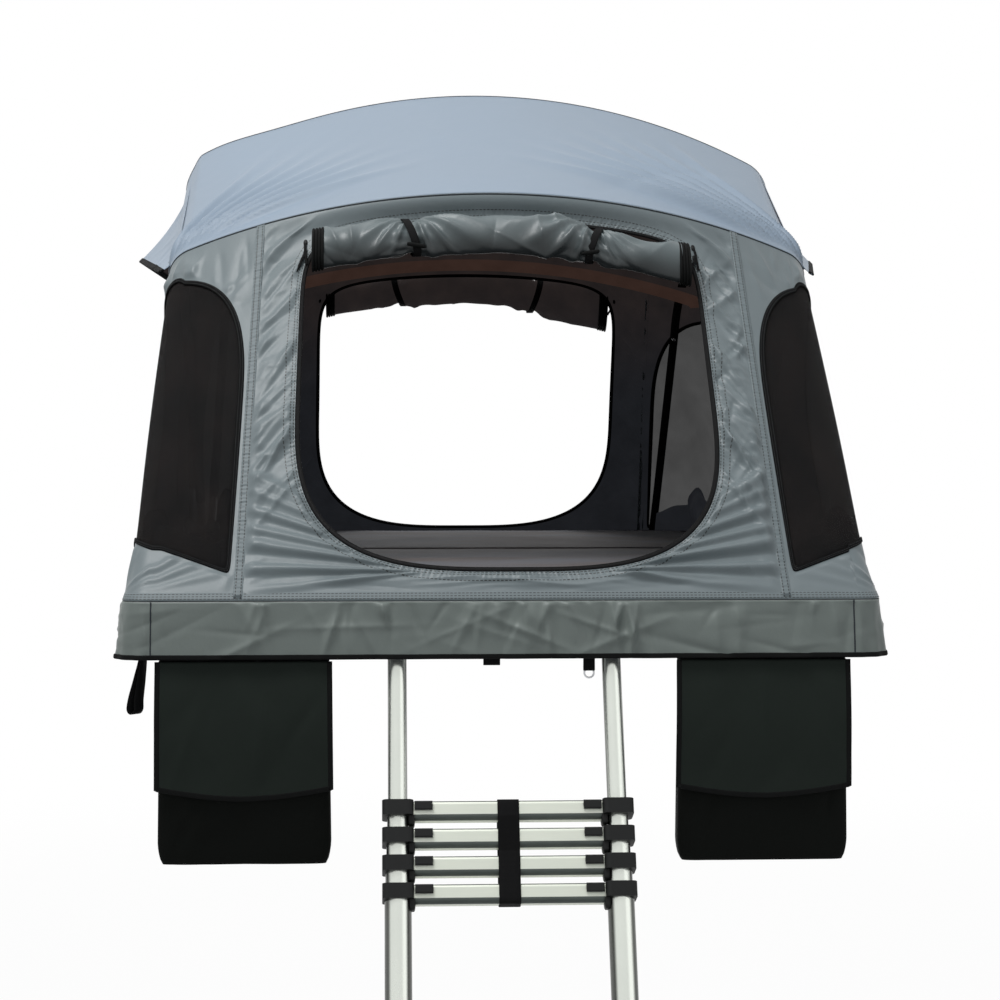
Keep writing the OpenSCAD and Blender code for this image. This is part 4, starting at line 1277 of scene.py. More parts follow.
@dataclass
class EndCanopy(Piecework):
    """One end of the canopy: the wall round its doorway, the corner walls, their windows and their trim."""

    end: End
    door_grid: tuple[int, int] = (180, 44)
    window_grid: tuple[int, int] = (120, 36)
    wall_cut: tuple[float, float] = (1.045, 0.96)
    corner_cut: tuple[float, float] = (0.84, 0.90)
    net_cut: tuple[float, float] = (0.62, 0.72)
    wall_rise: float = 0.93
    snap_at: int = 48
    zip_w: float = 0.008
    header_draw: float = 0.034
    front_shift: float = 0.0115
    door_round: tuple[float, float] = (3.2, 9.0)
    window_round: tuple[float, float] = (80.0, 3.0)

    def __post_init__(self) -> None:
        """Work out the panels of this end."""
        form = self.form
        self.seam = form.share_of(form.seam_x)
        self.door = form.share_of(form.door_x)
        self.window_start = form.share_of(form.window_x)
        mid = form.corner_mid
        share = self.door / self.seam
        rise = (0.0, 0.5, 1.0)
        door = (share, share, (0.5 - form.door_low) / 0.5, (form.door_high - 0.5) / 0.5)
        window = ((mid - self.window_start) / (mid - self.seam), (form.window_end - mid) / (1.0 - mid),
                  (0.5 - form.window_low) / 0.5, (form.window_high - 0.5) / 0.5)
        self.door_panel = Panel((-self.seam, 0.0, self.seam), rise, door, *self.door_round)
        self.corner_panel = Panel((self.seam, mid, 1.0), rise, window, *self.window_round)

    def name(self, word: str) -> str:
        """A piece's name with this end in front."""
        return f"{self.end.word}_{word}"

    def surface(self, p: Array, v: Array) -> Array:
        """The wall, its header drawn in under the arch so that it stands upright over the doorway.

        The front wall is sewn a little to the right of the middle, by a share that fades towards the hubs.
        """
        shift = self.front_shift if self.end is End.FRONT else 0.0
        flat = self.form.wall(self.end, p + shift * (1.0 - p**2), v)
        fade = np.clip(1.0 - (p / self.seam) ** 2, 0.0, 1.0) ** 0.7
        lip = np.clip((1.0 - v) / (1.0 - self.form.door_high), 0.0, 1.0)
        draw = self.header_draw * fade * smooth(lip) * smooth((v - 0.35) / 0.55)
        return flat - draw[..., None] * np.array([0.0, self.end.value, 0.0])

    def frame_at(self, p: Array, v: Array) -> tuple[Array, Array, Array, Array]:
        """Point, direction along the run, direction up and outward normal of the wall, from points close by.

        Args:
            p: Places on the run.
            v: Shares of the way up.

        Returns:
            Points and three unit directions.
        """
        e = 0.002
        point = self.surface(p, v)
        along = unit(self.surface(p + e, v) - self.surface(p - e, v))
        up = unit(self.surface(p, v + e) - self.surface(p, v - e))
        return point, along, up, away_from(self.form.middle, point, unit(np.cross(along, up)))

    def lift_sill(self, p: Array, v: Array) -> Array:
        """Raise the window sill to a peak at the tent's corner."""
        form = self.form
        m = form.metres(np.abs(p))
        places = np.array([self.window_start, form.shoulder_share - 0.03, form.window_end])
        first, middle, last = form.metres(places)
        reach = np.where(m < middle, middle - first, last - middle)
        peak = np.maximum(0.0, 1.0 - np.abs(m - middle) / reach)
        return v + form.window_lift * peak * np.minimum(1.0, v / form.window_low) * (1.0 - v) ** 2

    def metres(self, p: Array, v: Array) -> tuple[Array, Array]:
        """Rough metres along the run and up the wall."""
        return self.form.metres(p), v * self.wall_rise

    def seam_band(self, word: str, p: Array | float, v: Array | float, upright: bool, lift: float,
                  profile: Array, finish: Material) -> None:
        """Lay a seam on the wall.

        Args:
            word: The end of its name.
            p: Places on the run.
            v: Shares of the way up.
            upright: Whether it goes up the wall, or along it.
            lift: How far it stands off the wall.
            profile: Its section.
            finish: Its material.
        """
        point, along, up, out = self.frame_at(*np.broadcast_arrays(p, v))
        across = along if upright else up
        tape = Maker.band(self.name(word), point + out * lift, across, out, profile, finish)
        self.sew(tape, self.end, "canopy")

    def edge_band(self, word: str, ring: Array, lift: float, profile: Array,
                  finish: Material) -> None:
        """Lay a band round the edge of an opening.

        Args:
            word: The end of its name.
            ring: Rings of points from the opening's edge outwards.
            lift: How far it stands off the wall.
            profile: Its section.
            finish: Its material.
        """
        out = Maker.normals(ring, self.form.middle, True)[0]
        across = unit(ring[2] - ring[0])
        tape = Maker.band(self.name(word), ring[0] + out * lift, across, out, profile, finish, True)
        self.sew(tape, self.end, "webbing")

    def build(self) -> None:
        """Make every piece of this end."""
        self.end_wall()
        for side in Side:
            self.corner(side)
            if self.end is End.REAR:
                self.lap(side)
            self.window(side)
            self.window_cover(side)
            self.wall_seam(side)
            if self.end is End.REAR:
                self.inner_strap(side)
        self.base_seam()
        self.door_edge()
        self.arch_seam()

    def wall_folds(self, p: Array, v: Array) -> Array:
        """Slanting creases between seams and doorway, and folds from its lower corners to the base."""
        s, t = self.metres(p, v)
        side = np.abs(s)
        n = self.end.value
        slant = Creases(11 + n, 80, (0.41, 0.54), (0.24, 0.90), (116.0, 148.0), (0.05, 0.14),
                        (0.005, 0.012), (-0.005, 0.008), 1.3).relief(side, t)
        counter = Creases(17 + n, 44, (0.41, 0.54), (0.24, 0.80), (30.0, 75.0), (0.02, 0.06), (0.005, 0.010),
                          (-0.004, 0.005), 1.3).relief(s, t)
        gather = Creases(13 + n, 170, (0.48, 0.525), (0.02, 0.88), (150.0, 195.0), (0.010, 0.028),
                         (0.003, 0.006), (-0.0015, 0.003), 1.4).relief(side, t)
        corner = fan(side, t, (0.16, 0.06), (-7.0, 1.0, 10.0, 15.5, 22.0, 27.5, 32.0), 2.2, 0.42, 0.015)
        fine = fan(side, t, (0.16, 0.06), (-3.5, 5.5, 12.5, 18.5, 25.0, 30.0), 0.9, 0.42, 0.003)
        sill = Creases(23 + n, 60, (-0.36, 0.36), (0.015, 0.06), (-8.0, 8.0), (0.05, 0.14), (0.004, 0.009),
                       (-0.004, 0.005), 1.4).relief(s, t)
        return (slant + counter + gather + corner + fine + sill) * np.where(s > 0.0, 1.45, 1.0)

    def end_wall(self) -> None:
        """The wall with the doorway in it; its run is metres along and away from the door's edge."""
        p, v = self.door_panel.around(*self.door_grid)
        grid = self.surface(p, v)
        out = Maker.normals(grid, self.form.middle, True)
        edge = np.linalg.norm(grid - grid[:1], axis=-1)
        hold = smooth(np.minimum(v, 1.0 - v) * 14.0) * smooth((self.seam - np.abs(p)) * 60.0)
        hold = hold * smooth((edge - 0.002) / 0.016)
        along = metres_along(grid[0])
        grid = grid + out * (STAND_OFF + self.wall_folds(p, v) * hold)[..., None]
        run = stack(*np.broadcast_arrays(along[None], edge))
        obj = Maker.cloth(self.name("wall_cloth"), grid, out, [self.finishes.door_wall, self.finishes.lining],
                          CLOTH_THICK, run, True)
        self.fix(obj, self.end.body, "canopy", self.name("wall"))
        self.sheet(obj, grid, "stretched", [self.name("bow"), self.name("floor_frame")], True, self.wall_cut)
        self.fold_flat(obj)

    def corner(self, side: Side) -> None:
        """A corner wall that wraps from the end to the side, round its window."""
        s = side.value
        p, v = self.corner_panel.around(*self.window_grid)
        v = self.lift_sill(p, v)
        grid = self.surface(s * p, v)
        out = Maker.normals(grid, self.form.middle, True)
        m, t = self.metres(p, v)
        folds = Creases(31 + self.end.value + s, 60, (0.52, 1.1), (0.02, 0.9), (100.0, 160.0), (0.05, 0.14),
                        (0.007, 0.016), (-0.004, 0.006)).relief(m, t)
        folds = folds + fan(m, t, (0.77, 0.0), (173.0, 164.0, 153.0, 141.0), 3.6, 0.17, 0.006)
        folds = folds + Creases(61 + self.end.value + s, 16, (0.53, 0.74), (0.80, 0.92), (78.0, 112.0),
                                (0.04, 0.09), (0.006, 0.010), (-0.004, 0.007), 1.4).relief(m, t)
        edge = np.linalg.norm(grid - grid[:1], axis=-1)
        hold = smooth(np.minimum(v, 1.0 - v) * 14.0) * smooth((1.0 - p) * 8.0)
        hold = hold * smooth((p - self.seam) * 60.0) * smooth((edge - 0.007) / 0.02)
        grid = grid + out * (STAND_OFF + folds * hold)[..., None]
        obj = Maker.cloth(self.name(f"corner_cloth_{side.word}"), grid, out,
                          [self.finishes.wall, self.finishes.lining], CLOTH_THICK, stack(m, t),
                          True)
        self.fix(obj, self.end.body, "canopy", self.name("corner_walls"))
        self.sheet(obj, grid, "stretched", [self.name("bow"), self.name("floor_frame")], True,
                   self.corner_cut)
        self.fold_flat(obj)

    def lap(self, side: Side) -> None:
        """A strip behind the join of the two halves' corner walls, over the side hinge."""
        v = np.linspace(0.0, 1.0, 9)
        edge = self.surface(np.full(len(v), float(side.value)), v)
        out = alike([float(side.value), 0.0, 0.0], len(v))
        strip = Maker.band(f"wall_lap_{side.word}", edge - out * 0.003, alike(ALONG, len(v)), out,
                           strap_profile(0.014, 0.0006), self.finishes.wall)
        self.sew(strip, self.end, "canopy")

    def window(self, side: Side) -> None:
        """A corner window: net over the opening, with a stitched black binding round it."""
        s = side.value
        p, v = self.corner_panel.inside(56, 42, 1.004)
        v = self.lift_sill(p, v)
        net = self.surface(s * p, v)
        out = Maker.normals(net, self.form.middle)
        net = net + out * 0.0006
        m, t = self.metres(p, v)
        obj = Maker.cloth(self.name(f"window_net_{side.word}"), net, out, [self.finishes.net], 0.0006,
                          stack(m, t))
        self.fix(obj, self.end.body, "net", self.name("corner_windows"))
        self.sheet(obj, net, "stretched", [self.name(f"corner_cloth_{side.word}")], False, self.net_cut)
        self.fold_flat(obj)
        p, v = self.corner_panel.around(*self.window_grid)
        ring = self.surface(s * p, self.lift_sill(p, v))
        self.edge_band(f"window_binding_{side.word}", ring, STAND_OFF,
                       flat_profile(-0.004, 0.008, -0.0016, 0.0026), self.finishes.binding)

    def window_cover(self, side: Side) -> None:
        """The inner window cover, rolled down along the sill: a tube of lining cloth with slack folds."""
        q = np.linspace(self.window_start + 0.012, self.form.window_end - 0.03, 70)
        v = self.lift_sill(q, np.full_like(q, self.form.window_low)) + 0.034
        point, along, _, out = self.frame_at(side.value * q, v)
        turn = circle(20)
        far = q[:, None]
        lumps = 1.0 + 0.16 * np.sin(far * 90.0 + 2.0 * np.sin(turn)) * np.sin(2.0 * turn + far * 40.0)
        profile = stack(0.042 * lumps * np.cos(turn), 0.024 * lumps * np.sin(turn))
        up = unit(np.cross(out, along))
        obj = Maker.band(self.name(f"window_cover_{side.word}"), point - out * 0.034, up, out, profile,
                         self.finishes.lining)
        self.fix(obj, self.end.body, "canopy")
        self.fold_flat(obj)

    def inner_strap(self, side: Side) -> None:
        """The strap inside, from the ridge over the bow and down beside a window, with a snap on it."""
        v = np.linspace(0.06, 0.985, 60)
        p = side.value * (self.window_start + 0.005 + 0.036 * v)
        point, along, up, out = self.frame_at(p, v)
        over = self.form.roof(self.end, np.full(24, p[-1]), np.linspace(0.05, 0.96, 24))
        knots = np.concatenate([(point - out * 0.012)[::6], over[::5] - np.array([0.0, 0.0, 0.014])])
        path = smooth_path(knots, 120)
        ahead = ahead_of(path)
        flat = along[len(v) // 2]
        across = unit(flat - ahead * np.sum(flat * ahead, axis=-1, keepdims=True))
        tape = Maker.band(self.name(f"inner_strap_{side.word}"), path, across, unit(np.cross(ahead, across)),
                          strap_profile(0.011, 0.001), self.finishes.webbing)
        self.sew(tape, self.end, "webbing")
        depth = np.array([0.0128, 0.0150, 0.0158])[:, None]
        size = np.array([1.0, 0.9, 0.5])[:, None, None]
        k = self.snap_at
        snap = Maker.band(self.name(f"inner_snap_{side.word}"), point[k] - out[k] * depth, alike(along[k], 3),
                          alike(up[k], 3), round_profile(0.006, 16)[None] * size, self.finishes.steel)
        self.sew(snap, self.end, "steel")

    def wall_seam(self, side: Side) -> None:
        """The stitched seam between the end wall and a corner wall."""
        self.seam_band(f"wall_seam_{side.word}", side.value * self.seam, np.linspace(0.004, 0.996, 60), True,
                       STAND_OFF, flat_profile(-0.009, 0.009, -0.001, 0.0014), self.finishes.seam)

    def base_seam(self) -> None:
        """The seam round the base, with three rows of stitches above the skirt."""
        self.seam_band("base_seam", np.linspace(-0.995, 0.995, 240), 0.010, False, STAND_OFF,
                       strap_profile(0.009, 0.001), self.finishes.base_seam)

    def arch_seam(self) -> None:
        """The dark stitched line where the wall meets the roof, along the bow."""
        self.seam_band("arch_seam", np.linspace(-0.99, 0.99, 220), 0.997, False, 0.0022,
                       round_profile(0.0016, 8, 0.8), self.finishes.thread_line)

    def door_edge(self) -> None:
        """The zip round the doorway's edge."""
        ring = self.surface(*self.door_panel.around(*self.door_grid))
        self.edge_band("door_zip", ring, 0.0008, flat_profile(-self.zip_w, 0.002, -0.0014, 0.0034),
                       self.finishes.zip)


@dataclass
class DoorRoll(Piecework):
    """A door rolled up under its arch: crumpled cloth, layered zip edges, ties with toggles, zip pulls."""

    end: End
    half_long: float = 0.40
    half_high: float = 0.045
    half_thick: float = 0.027
    mean_r: float = 0.036
    tie_at: float = 0.48
    tie_w: float = 0.016
    toggle_at: int = 6
    toggle_half: float = 0.019
    slider_half: float = 0.007
    droop: tuple[float, float] = (0.027, 0.022)
    deepen: tuple[float, float] = (0.0, 0.022)

    def __post_init__(self) -> None:
        """Keep the wall that the roll hangs on."""
        self.canopy = EndCanopy(self.form, self.finishes, self.end)

    def frame_at(self, t: Array) -> tuple[Array, Array, Array]:
        """Middle line of the roll, lower towards its right end, and the directions down and out of the wall.

        Args:
            t: Places along the roll, from -1 to 1.

        Returns:
            Points and two unit directions.
        """
        p = t * 0.95 * self.canopy.door
        top = self.canopy.surface(p, np.full_like(p, self.form.door_high))
        low = self.canopy.surface(p, np.full_like(p, 0.6))
        down = unit((low - top) * np.array([0.0, 1.0, 1.0]))
        out = self.end.value * stack(np.zeros_like(p), -down[:, 2], down[:, 1])
        hang = 0.058 + self.to_right(self.droop, t)
        return top + down * hang + out * (0.84 * self.half_thick + 0.0023), down, out

    def to_right(self, sizes: tuple[float, float], t: Array) -> Array:
        """A size that grows from nothing to the roll's right end: one of a pair, for front and rear."""
        return sizes[0 if self.end is End.FRONT else 1] * smooth((t[:, None] - 0.2) / 0.5)

    def waist(self, t: Array) -> Array:
        """How full the roll is: drawn in at its ties, fuller at its ends, in front thinner to the right."""
        tie = 0.20 * bell(np.abs(t) - self.tie_at, 0.045)
        thin = 0.14 * bell(t - 0.7, 0.14) if self.end is End.FRONT else 0.0
        return 1.0 - tie - thin + 0.08 * np.abs(t) ** 6

    def section(self, t: Array, turn: Array, grow: float = 0.0) -> tuple[Array, Array]:
        """Points and outward directions of the roll's skin.

        Args:
            t: Places along the roll.
            turn: Angles round it, from straight down towards the outside.
            grow: Extra distance out of the skin.

        Returns:
            Points and unit directions, one row to each place along.
        """
        middle, down, out = self.frame_at(t)
        full = self.waist(t)[:, None, None]
        c = np.cos(turn)[None, :, None]
        s = np.sin(turn)[None, :, None]
        high = self.half_high + self.to_right(self.deepen, t)[:, None]
        skin = down[:, None] * c * high * full + out[:, None] * s * self.half_thick * full
        away = unit(down[:, None] * c / self.half_high + out[:, None] * s / self.half_thick)
        return middle[:, None] + skin + away * grow, away

    def build(self) -> None:
        """Make the roll and all that is on it."""
        self.cloth()
        for side in Side:
            self.zip_end(side)
            self.tie(side)
            self.zip_pulls(side)

    def cloth(self) -> None:
        """The rolled cloth: an oval bundle with crumples, and with swags and short pleats at the ties."""
        t = np.linspace(-0.955, 0.955, 361)
        turn = np.linspace(-0.5 * math.pi, 1.5 * math.pi, 80, endpoint=False)
        points, away = self.section(t, turn)
        s = np.broadcast_to(t[:, None] * self.half_long, points.shape[:2])
        w = np.broadcast_to(((turn + 0.5 * math.pi) * self.mean_r)[None, :], points.shape[:2])
        held = self.tie_at * self.half_long
        near = (-held, 0.165)
        far = (held, 0.165)
        swag = (-14.0, -30.0, -48.0, -68.0)
        back = tuple(-180.0 - angle for angle in swag)
        left = fan(s, w, near, swag, 4.5, 0.10, 0.010) + fan(s, w, far, swag, 4.5, 0.08, 0.007)
        right = fan(s, w, far, back, 4.5, 0.11, 0.011) + fan(s, w, near, back, 4.5, 0.08, 0.007)
        crumple = Creases(41 + self.end.value, 26, (-0.4, 0.4), (0.06, 0.18), (25.0, 155.0), (0.03, 0.09),
                          (0.007, 0.016), (-0.008, 0.008), 1.1).relief(s, w)
        layer = 0.002 * np.sin(turn * 3.0 + 4.0 * np.sin(t[:, None] * 5.0))
        from_tie = np.abs(t) - self.tie_at
        calm = 1.0 - 0.85 * bell(from_tie, 0.03)[:, None]
        close = bell(from_tie, 0.09)[:, None]
        pleats = 0.0025 * close * np.sin(turn[None, :] * 9.0 + t[:, None] * 20.0)
        crumple = (crumple + left + right + layer + pleats) * calm
        window = np.sin(0.5 * (turn + 0.5 * math.pi))[None, :] ** 0.5
        grid = points + away * (crumple * window)[..., None]
        finish = self.finishes.door if self.end is End.FRONT else self.finishes.lining
        obj = Maker.loft(self.end.word + "_door_bundle", grid, finish, stack(s, w))
        self.sew(obj, self.end, "canopy", f"{self.end.word}_door_roll")

    def zip_end(self, side: Side) -> None:
        """The zip tapes at one end of the roll, lying in four layers: ribs round a short oval."""
        u = np.linspace(0.0, 1.0, 33)
        turn = circle(48)
        points, away = self.section(side.value * mix(0.935, 1.0, u), turn, 0.001)
        rib = 0.0035 * np.abs(np.sin(4.0 * math.pi * u)) ** 0.6
        run = stack(*np.broadcast_arrays((turn * self.mean_r)[None, :], u[:, None]))
        obj = Maker.loft(f"{self.end.word}_roll_zip_{side.word}", points + away * rib[:, None, None],
                         self.finishes.piping, run)
        self.sew(obj, self.end, "webbing")

    def tie(self, side: Side) -> None:
        """A tie round the roll, slanting towards the middle as it comes down, with a toggle at its end."""
        turn = circle(64)
        middle, down, out = self.frame_at(side.value * (self.tie_at - 0.035 * np.cos(turn)))
        full = self.waist(np.full_like(turn, self.tie_at))[:, None]
        c = np.cos(turn)[:, None]
        s = np.sin(turn)[:, None]
        away = unit(down * c / self.half_high + out * s / self.half_thick)
        high = self.half_high + self.to_right(self.deepen, np.full_like(turn, side.value * self.tie_at))
        path = middle + (down * c * high + out * s * self.half_thick) * full + away * 0.009
        across = unit(np.cross(ahead_of(path, True), away))
        obj = Maker.band(f"{self.end.word}_roll_tie_{side.word}", path, across, away,
                         strap_profile(0.5 * self.tie_w, 0.0008), self.finishes.webbing, True)
        self.sew(obj, self.end, "webbing")
        x = np.linspace(-self.toggle_half, self.toggle_half, 15)
        k = self.toggle_at
        bar = path[k] + away[k] * 0.005 + stack(x, np.zeros_like(x), 0.15 * x * side.value)
        thin = 1.0 - 0.35 * (np.abs(x) / self.toggle_half) ** 6
        toggle = Maker.band(f"{self.end.word}_toggle_{side.word}", bar, alike(down[k], len(x)),
                            alike(out[k], len(x)), round_profile(0.0046, 12)[None] * thin[:, None, None],
                            self.finishes.piping)
        self.sew(toggle, self.end, "black_plastic")

    def zip_pulls(self, side: Side) -> None:
        """Two zip sliders at a top corner of the doorway, each with a pull tape that hangs from it."""
        p = np.full(2, side.value * self.canopy.door * 0.985)
        point, along, up, out = self.canopy.frame_at(p, np.array([0.915, 0.885]))
        for k, (long, lean) in enumerate(((0.062, 0.10), (0.048, -0.35))):
            drop = np.array([0.0, 0.3, 0.7, 1.0])[:, None] * long
            stand = np.array([0.004, 0.009, 0.008, 0.006])[:, None]
            drift = np.array([0.0, 0.01, 0.03, 0.05])[:, None] * lean
            path = smooth_path(point[k] + out[k] * stand - up[k] * drop + along[k] * drift, 24)
            ahead = ahead_of(path)
            across = unit(np.cross(ahead, out[k]))
            face = unit(np.cross(across, ahead))
            obj = Maker.band(f"{self.end.word}_zip_pull_{side.word}_{k + 1}", path, across, face,
                             strap_profile(0.0028, 0.0009), self.finishes.webbing)
            self.sew(obj, self.end, "webbing")
            body = np.linspace(-self.slider_half, self.slider_half, 9)
            line = point[k] + out[k] * 0.003 + up[k] * body[:, None]
            wide = 1.0 - 0.4 * np.abs(body / self.slider_half) ** 3
            slider = Maker.band(f"{self.end.word}_zip_slider_{side.word}_{k + 1}", line, alike(along[k], 9),
                                alike(out[k], 9),
                                flat_profile(-0.0042, 0.0042, -0.002, 0.0026)[None] * wide[:, None, None],
                                self.finishes.collar)
            self.sew(slider, self.end, "black_plastic")


@dataclass
class Roof(Piecework):
    """The roof cloth over the three bows, its ridge seam, the side eaves and the sleeves round the bows."""

    sleeve_r: float = 0.0112
    band_drop: float = 0.055

    def build(self) -> None:
        """Make the roof's pieces."""
        for end in End:
            self.cloth(end)
        self.ridge_seam()
        for side in Side:
            self.eave(side)
            self.eave_tie(side)
        for word in ("front", "ridge", "rear"):
            self.sleeve(word, getattr(self.form, f"{word}_bow"))

    def hang(self, obj: Object, slot: str) -> None:
        """Fix a piece of trim to the ridge bow and give it its own copy of its mesh."""
        self.fix(obj, "ridge_bow", slot)
        self.gather(obj)

    def cloth(self, end: End) -> None:
        """One roof panel, with folds that fan out from its lower corners."""
        form = self.form
        run = np.interp(np.linspace(-1.0, 1.0, 421), (-1.0, -0.86, 0.86, 1.0), (-1.0, -0.62, 0.62, 1.0))
        p, v = np.meshgrid(run, np.linspace(0.0, 1.0, 101))
        grid = form.roof(end, p, v)
        out = Maker.normals(grid, form.middle)
        s = grid[..., 0]
        t = v * 0.71
        folds = fan(s, t, (-0.72, -0.05), (27.0, 35.0, 41.0, 47.0, 54.0, 60.0, 68.0), 1.9, 0.33, 0.020)
        folds = folds + fan(s, t, (0.72, -0.05), (154.0, 147.0, 141.0, 134.0, 128.0, 121.0, 113.0), 1.9, 0.38,
                            0.026)
        folds = folds + Creases(5 + end.value, 16, (-0.5, 0.5), (0.05, 0.5), (30.0, 150.0), (0.08, 0.2),
                                (0.012, 0.03), (-0.002, 0.0025)).relief(s, t)
        hold = smooth(np.minimum(v, 1.0 - v) * 9.0) * smooth((1.0 - np.abs(p)) * 5.0)
        grid = grid + out * (STAND_OFF + folds * hold)[..., None]
        obj = Maker.cloth(f"roof_cloth_{end.word}", grid, out, [self.finishes.roof, self.finishes.lining],
                          CLOTH_THICK, stack(s, t))
        self.fix(obj, "ridge_bow", "roof", f"roof_{end.word}")
        self.sheet(obj, grid, "stretched", ["ridge_bow", f"{end.word}_bow"])
        self.gather(obj)

    def ridge_seam(self) -> None:
        """The stitched line along the ridge."""
        form = self.form
        p = np.linspace(-0.97, 0.97, 240)
        point = form.bow_point(form.ridge_bow, p, 0.002) + form.fullness(p)
        out = unit(form.bow_point(form.ridge_bow, p, 0.01) - form.bow_point(form.ridge_bow, p, 0.0))
        tape = Maker.band("ridge_seam", point, alike(ALONG, len(p)), out, round_profile(0.0016, 8, 0.8),
                          self.finishes.thread_line)
        self.hang(tape, "roof")

    def eave(self, side: Side) -> None:
        """One side eave with a black binding along its hem."""
        form = self.form
        u, v = np.meshgrid(np.linspace(-0.98, 0.98, 101), np.linspace(0.0, 1.0, 25))
        grid = form.eave(side, u, v)
        out = Maker.normals(grid, form.middle)
        s = u * 0.55
        t = v * 0.3
        folds = Creases(71 + side.value, 18, (-0.6, 0.6), (0.05, 0.3), (50.0, 130.0), (0.05, 0.12),
                        (0.01, 0.02), (-0.002, 0.003)).relief(s, t)
        grid = grid + out * (folds * smooth(v * 4.0))[..., None]
        obj = Maker.cloth(f"eave_cloth_{side.word}", grid, out, [self.finishes.roof, self.finishes.lining],
                          CLOTH_THICK, stack(s, t))
        self.fix(obj, "ridge_bow", "roof", "side_eaves")
        self.sheet(obj, grid, "hung", ["ridge_bow"])
        self.gather(obj)
        tape = Maker.band(f"eave_hem_{side.word}", grid[-1], unit(grid[-2] - grid[-1]), out[-1],
                          flat_profile(-0.004, 0.010, -0.003, 0.0022), self.finishes.piping)
        self.hang(tape, "webbing")

    def eave_tie(self, side: Side) -> None:
        """The short black tie where an eave leaves the front corner of the roof."""
        form = self.form
        v = np.linspace(0.30, 0.62, 16)
        u = np.full_like(v, -0.93)
        path = form.eave(side, u, v)
        away = unit(path - form.eave(side, u + 0.03, v))
        out = unit(np.cross(ahead_of(path), away))
        tape = Maker.band(f"eave_tie_{side.word}", path + away * 0.004, away, out,
                          strap_profile(0.006, 0.003), self.finishes.webbing)
        self.hang(tape, "webbing")

    def sleeve(self, word: str, bow: Bow) -> None:
        """The cloth sleeve that a bow runs in, a tube; the rear one has a band sewn to it inside."""
        p = np.linspace(-0.97, 0.97, 300)
        path = self.form.bow_tube(bow, p)
        turn = math.radians(bow.angle)
        across = alike([0.0, -math.sin(turn), -math.cos(turn)], len(p))
        inward = unit(np.cross(np.gradient(path, axis=0), across))
        obj = Maker.band(f"{word}_bow_sleeve", path, across, inward, round_profile(self.sleeve_r, 16),
                         self.finishes.lining)
        self.fix(obj, f"{word}_bow", "canopy")
        if bow is self.form.rear_bow:
            ends = np.abs(p) < 0.6
            drop = flat_profile(-0.0008, 0.0008, 0.009, self.band_drop)
            band = Maker.band("rear_bow_band", path[ends], across[ends], inward[ends], drop,
                              self.finishes.bow_band)
            self.fix(band, "rear_bow", "canopy")


@dataclass
class Skirt(Piecework):
    """The skirt round the two base halves, with its piped hem and corner seams."""

    seam_share: float = 0.394
    columns: int = 1000

    def build(self) -> None:
        """Make both halves."""
        for end in End:
            self.half(end)

    def half(self, end: End) -> None:
        """One half: cloth with soft folds below the base seam, a black hem and a seam near each corner."""
        form = self.form
        p, v = np.meshgrid(np.linspace(-1.0, 1.0, self.columns + 1), np.linspace(0.0, 1.0, 31))
        grid = form.skirt(end, p, v)
        out = Maker.normals(grid, np.array([0.0, form.y_fold + end.value * 0.6, 0.0]))
        s = form.metres(p)
        t = v * form.skirt_drop
        folds = Creases(91 + end.value, 170, (-1.8, 1.8), (-0.01, 0.08), (58.0, 122.0), (0.020, 0.060),
                        (0.005, 0.012), (-0.006, 0.009), 1.6).relief(s, t)
        folds = folds + Creases(97 + end.value, 70, (-1.8, 1.8), (0.01, 0.1), (-28.0, 28.0), (0.05, 0.12),
                                (0.005, 0.011), (-0.005, 0.006), 1.4).relief(s, t)
        folds = folds * (1.0 - 0.8 * bell(np.abs(p) - form.corner_mid, 0.13))
        room = 0.0014 + 0.010 * v
        folds = np.where(folds < 0.0, room * np.tanh(folds / room), folds)
        grid = grid + out * (folds * smooth(v * 16.0))[..., None]
        obj = Maker.cloth(f"{end.word}_skirt_cloth", grid, out, [self.finishes.skirt, self.finishes.lining],
                          CLOTH_THICK, stack(s, t))
        self.fix(obj, end.body, "skirt", f"{end.word}_skirt")
        self.sheet(obj, grid, "hung", [f"{end.word}_floor_frame"])
        hem = Maker.band(f"{end.word}_skirt_hem", grid[-1], unit(grid[-2] - grid[-1]), out[-1],
                         flat_profile(-0.0015, 0.008, -0.0032, 0.0024), self.finishes.piping)
        self.fix(hem, end.body, "webbing")
        if end is End.REAR:
            for side, k in ((Side.LEFT, 0), (Side.RIGHT, -1)):
                behind = grid[:, k] - out[:, k] * (0.0014 + 0.003 * v[:, :1])
                lap = Maker.band(f"skirt_lap_{side.word}", behind, alike(ALONG, len(behind)), out[:, k],
                                 strap_profile(0.014, 0.0006), self.finishes.skirt)
                self.fix(lap, end.body, "skirt")
        column = int(round((1.0 - self.seam_share) / 2.0 * self.columns))
        for side, k in ((Side.LEFT, column), (Side.RIGHT, self.columns - column)):
            across = unit(grid[:, k + 1] - grid[:, k - 1])
            tape = Maker.band(f"{end.word}_skirt_seam_{side.word}", grid[:, k], across, out[:, k],
                              round_profile(0.0014, 8, 0.8), self.finishes.thread_line)
            self.fix(tape, end.body, "skirt")


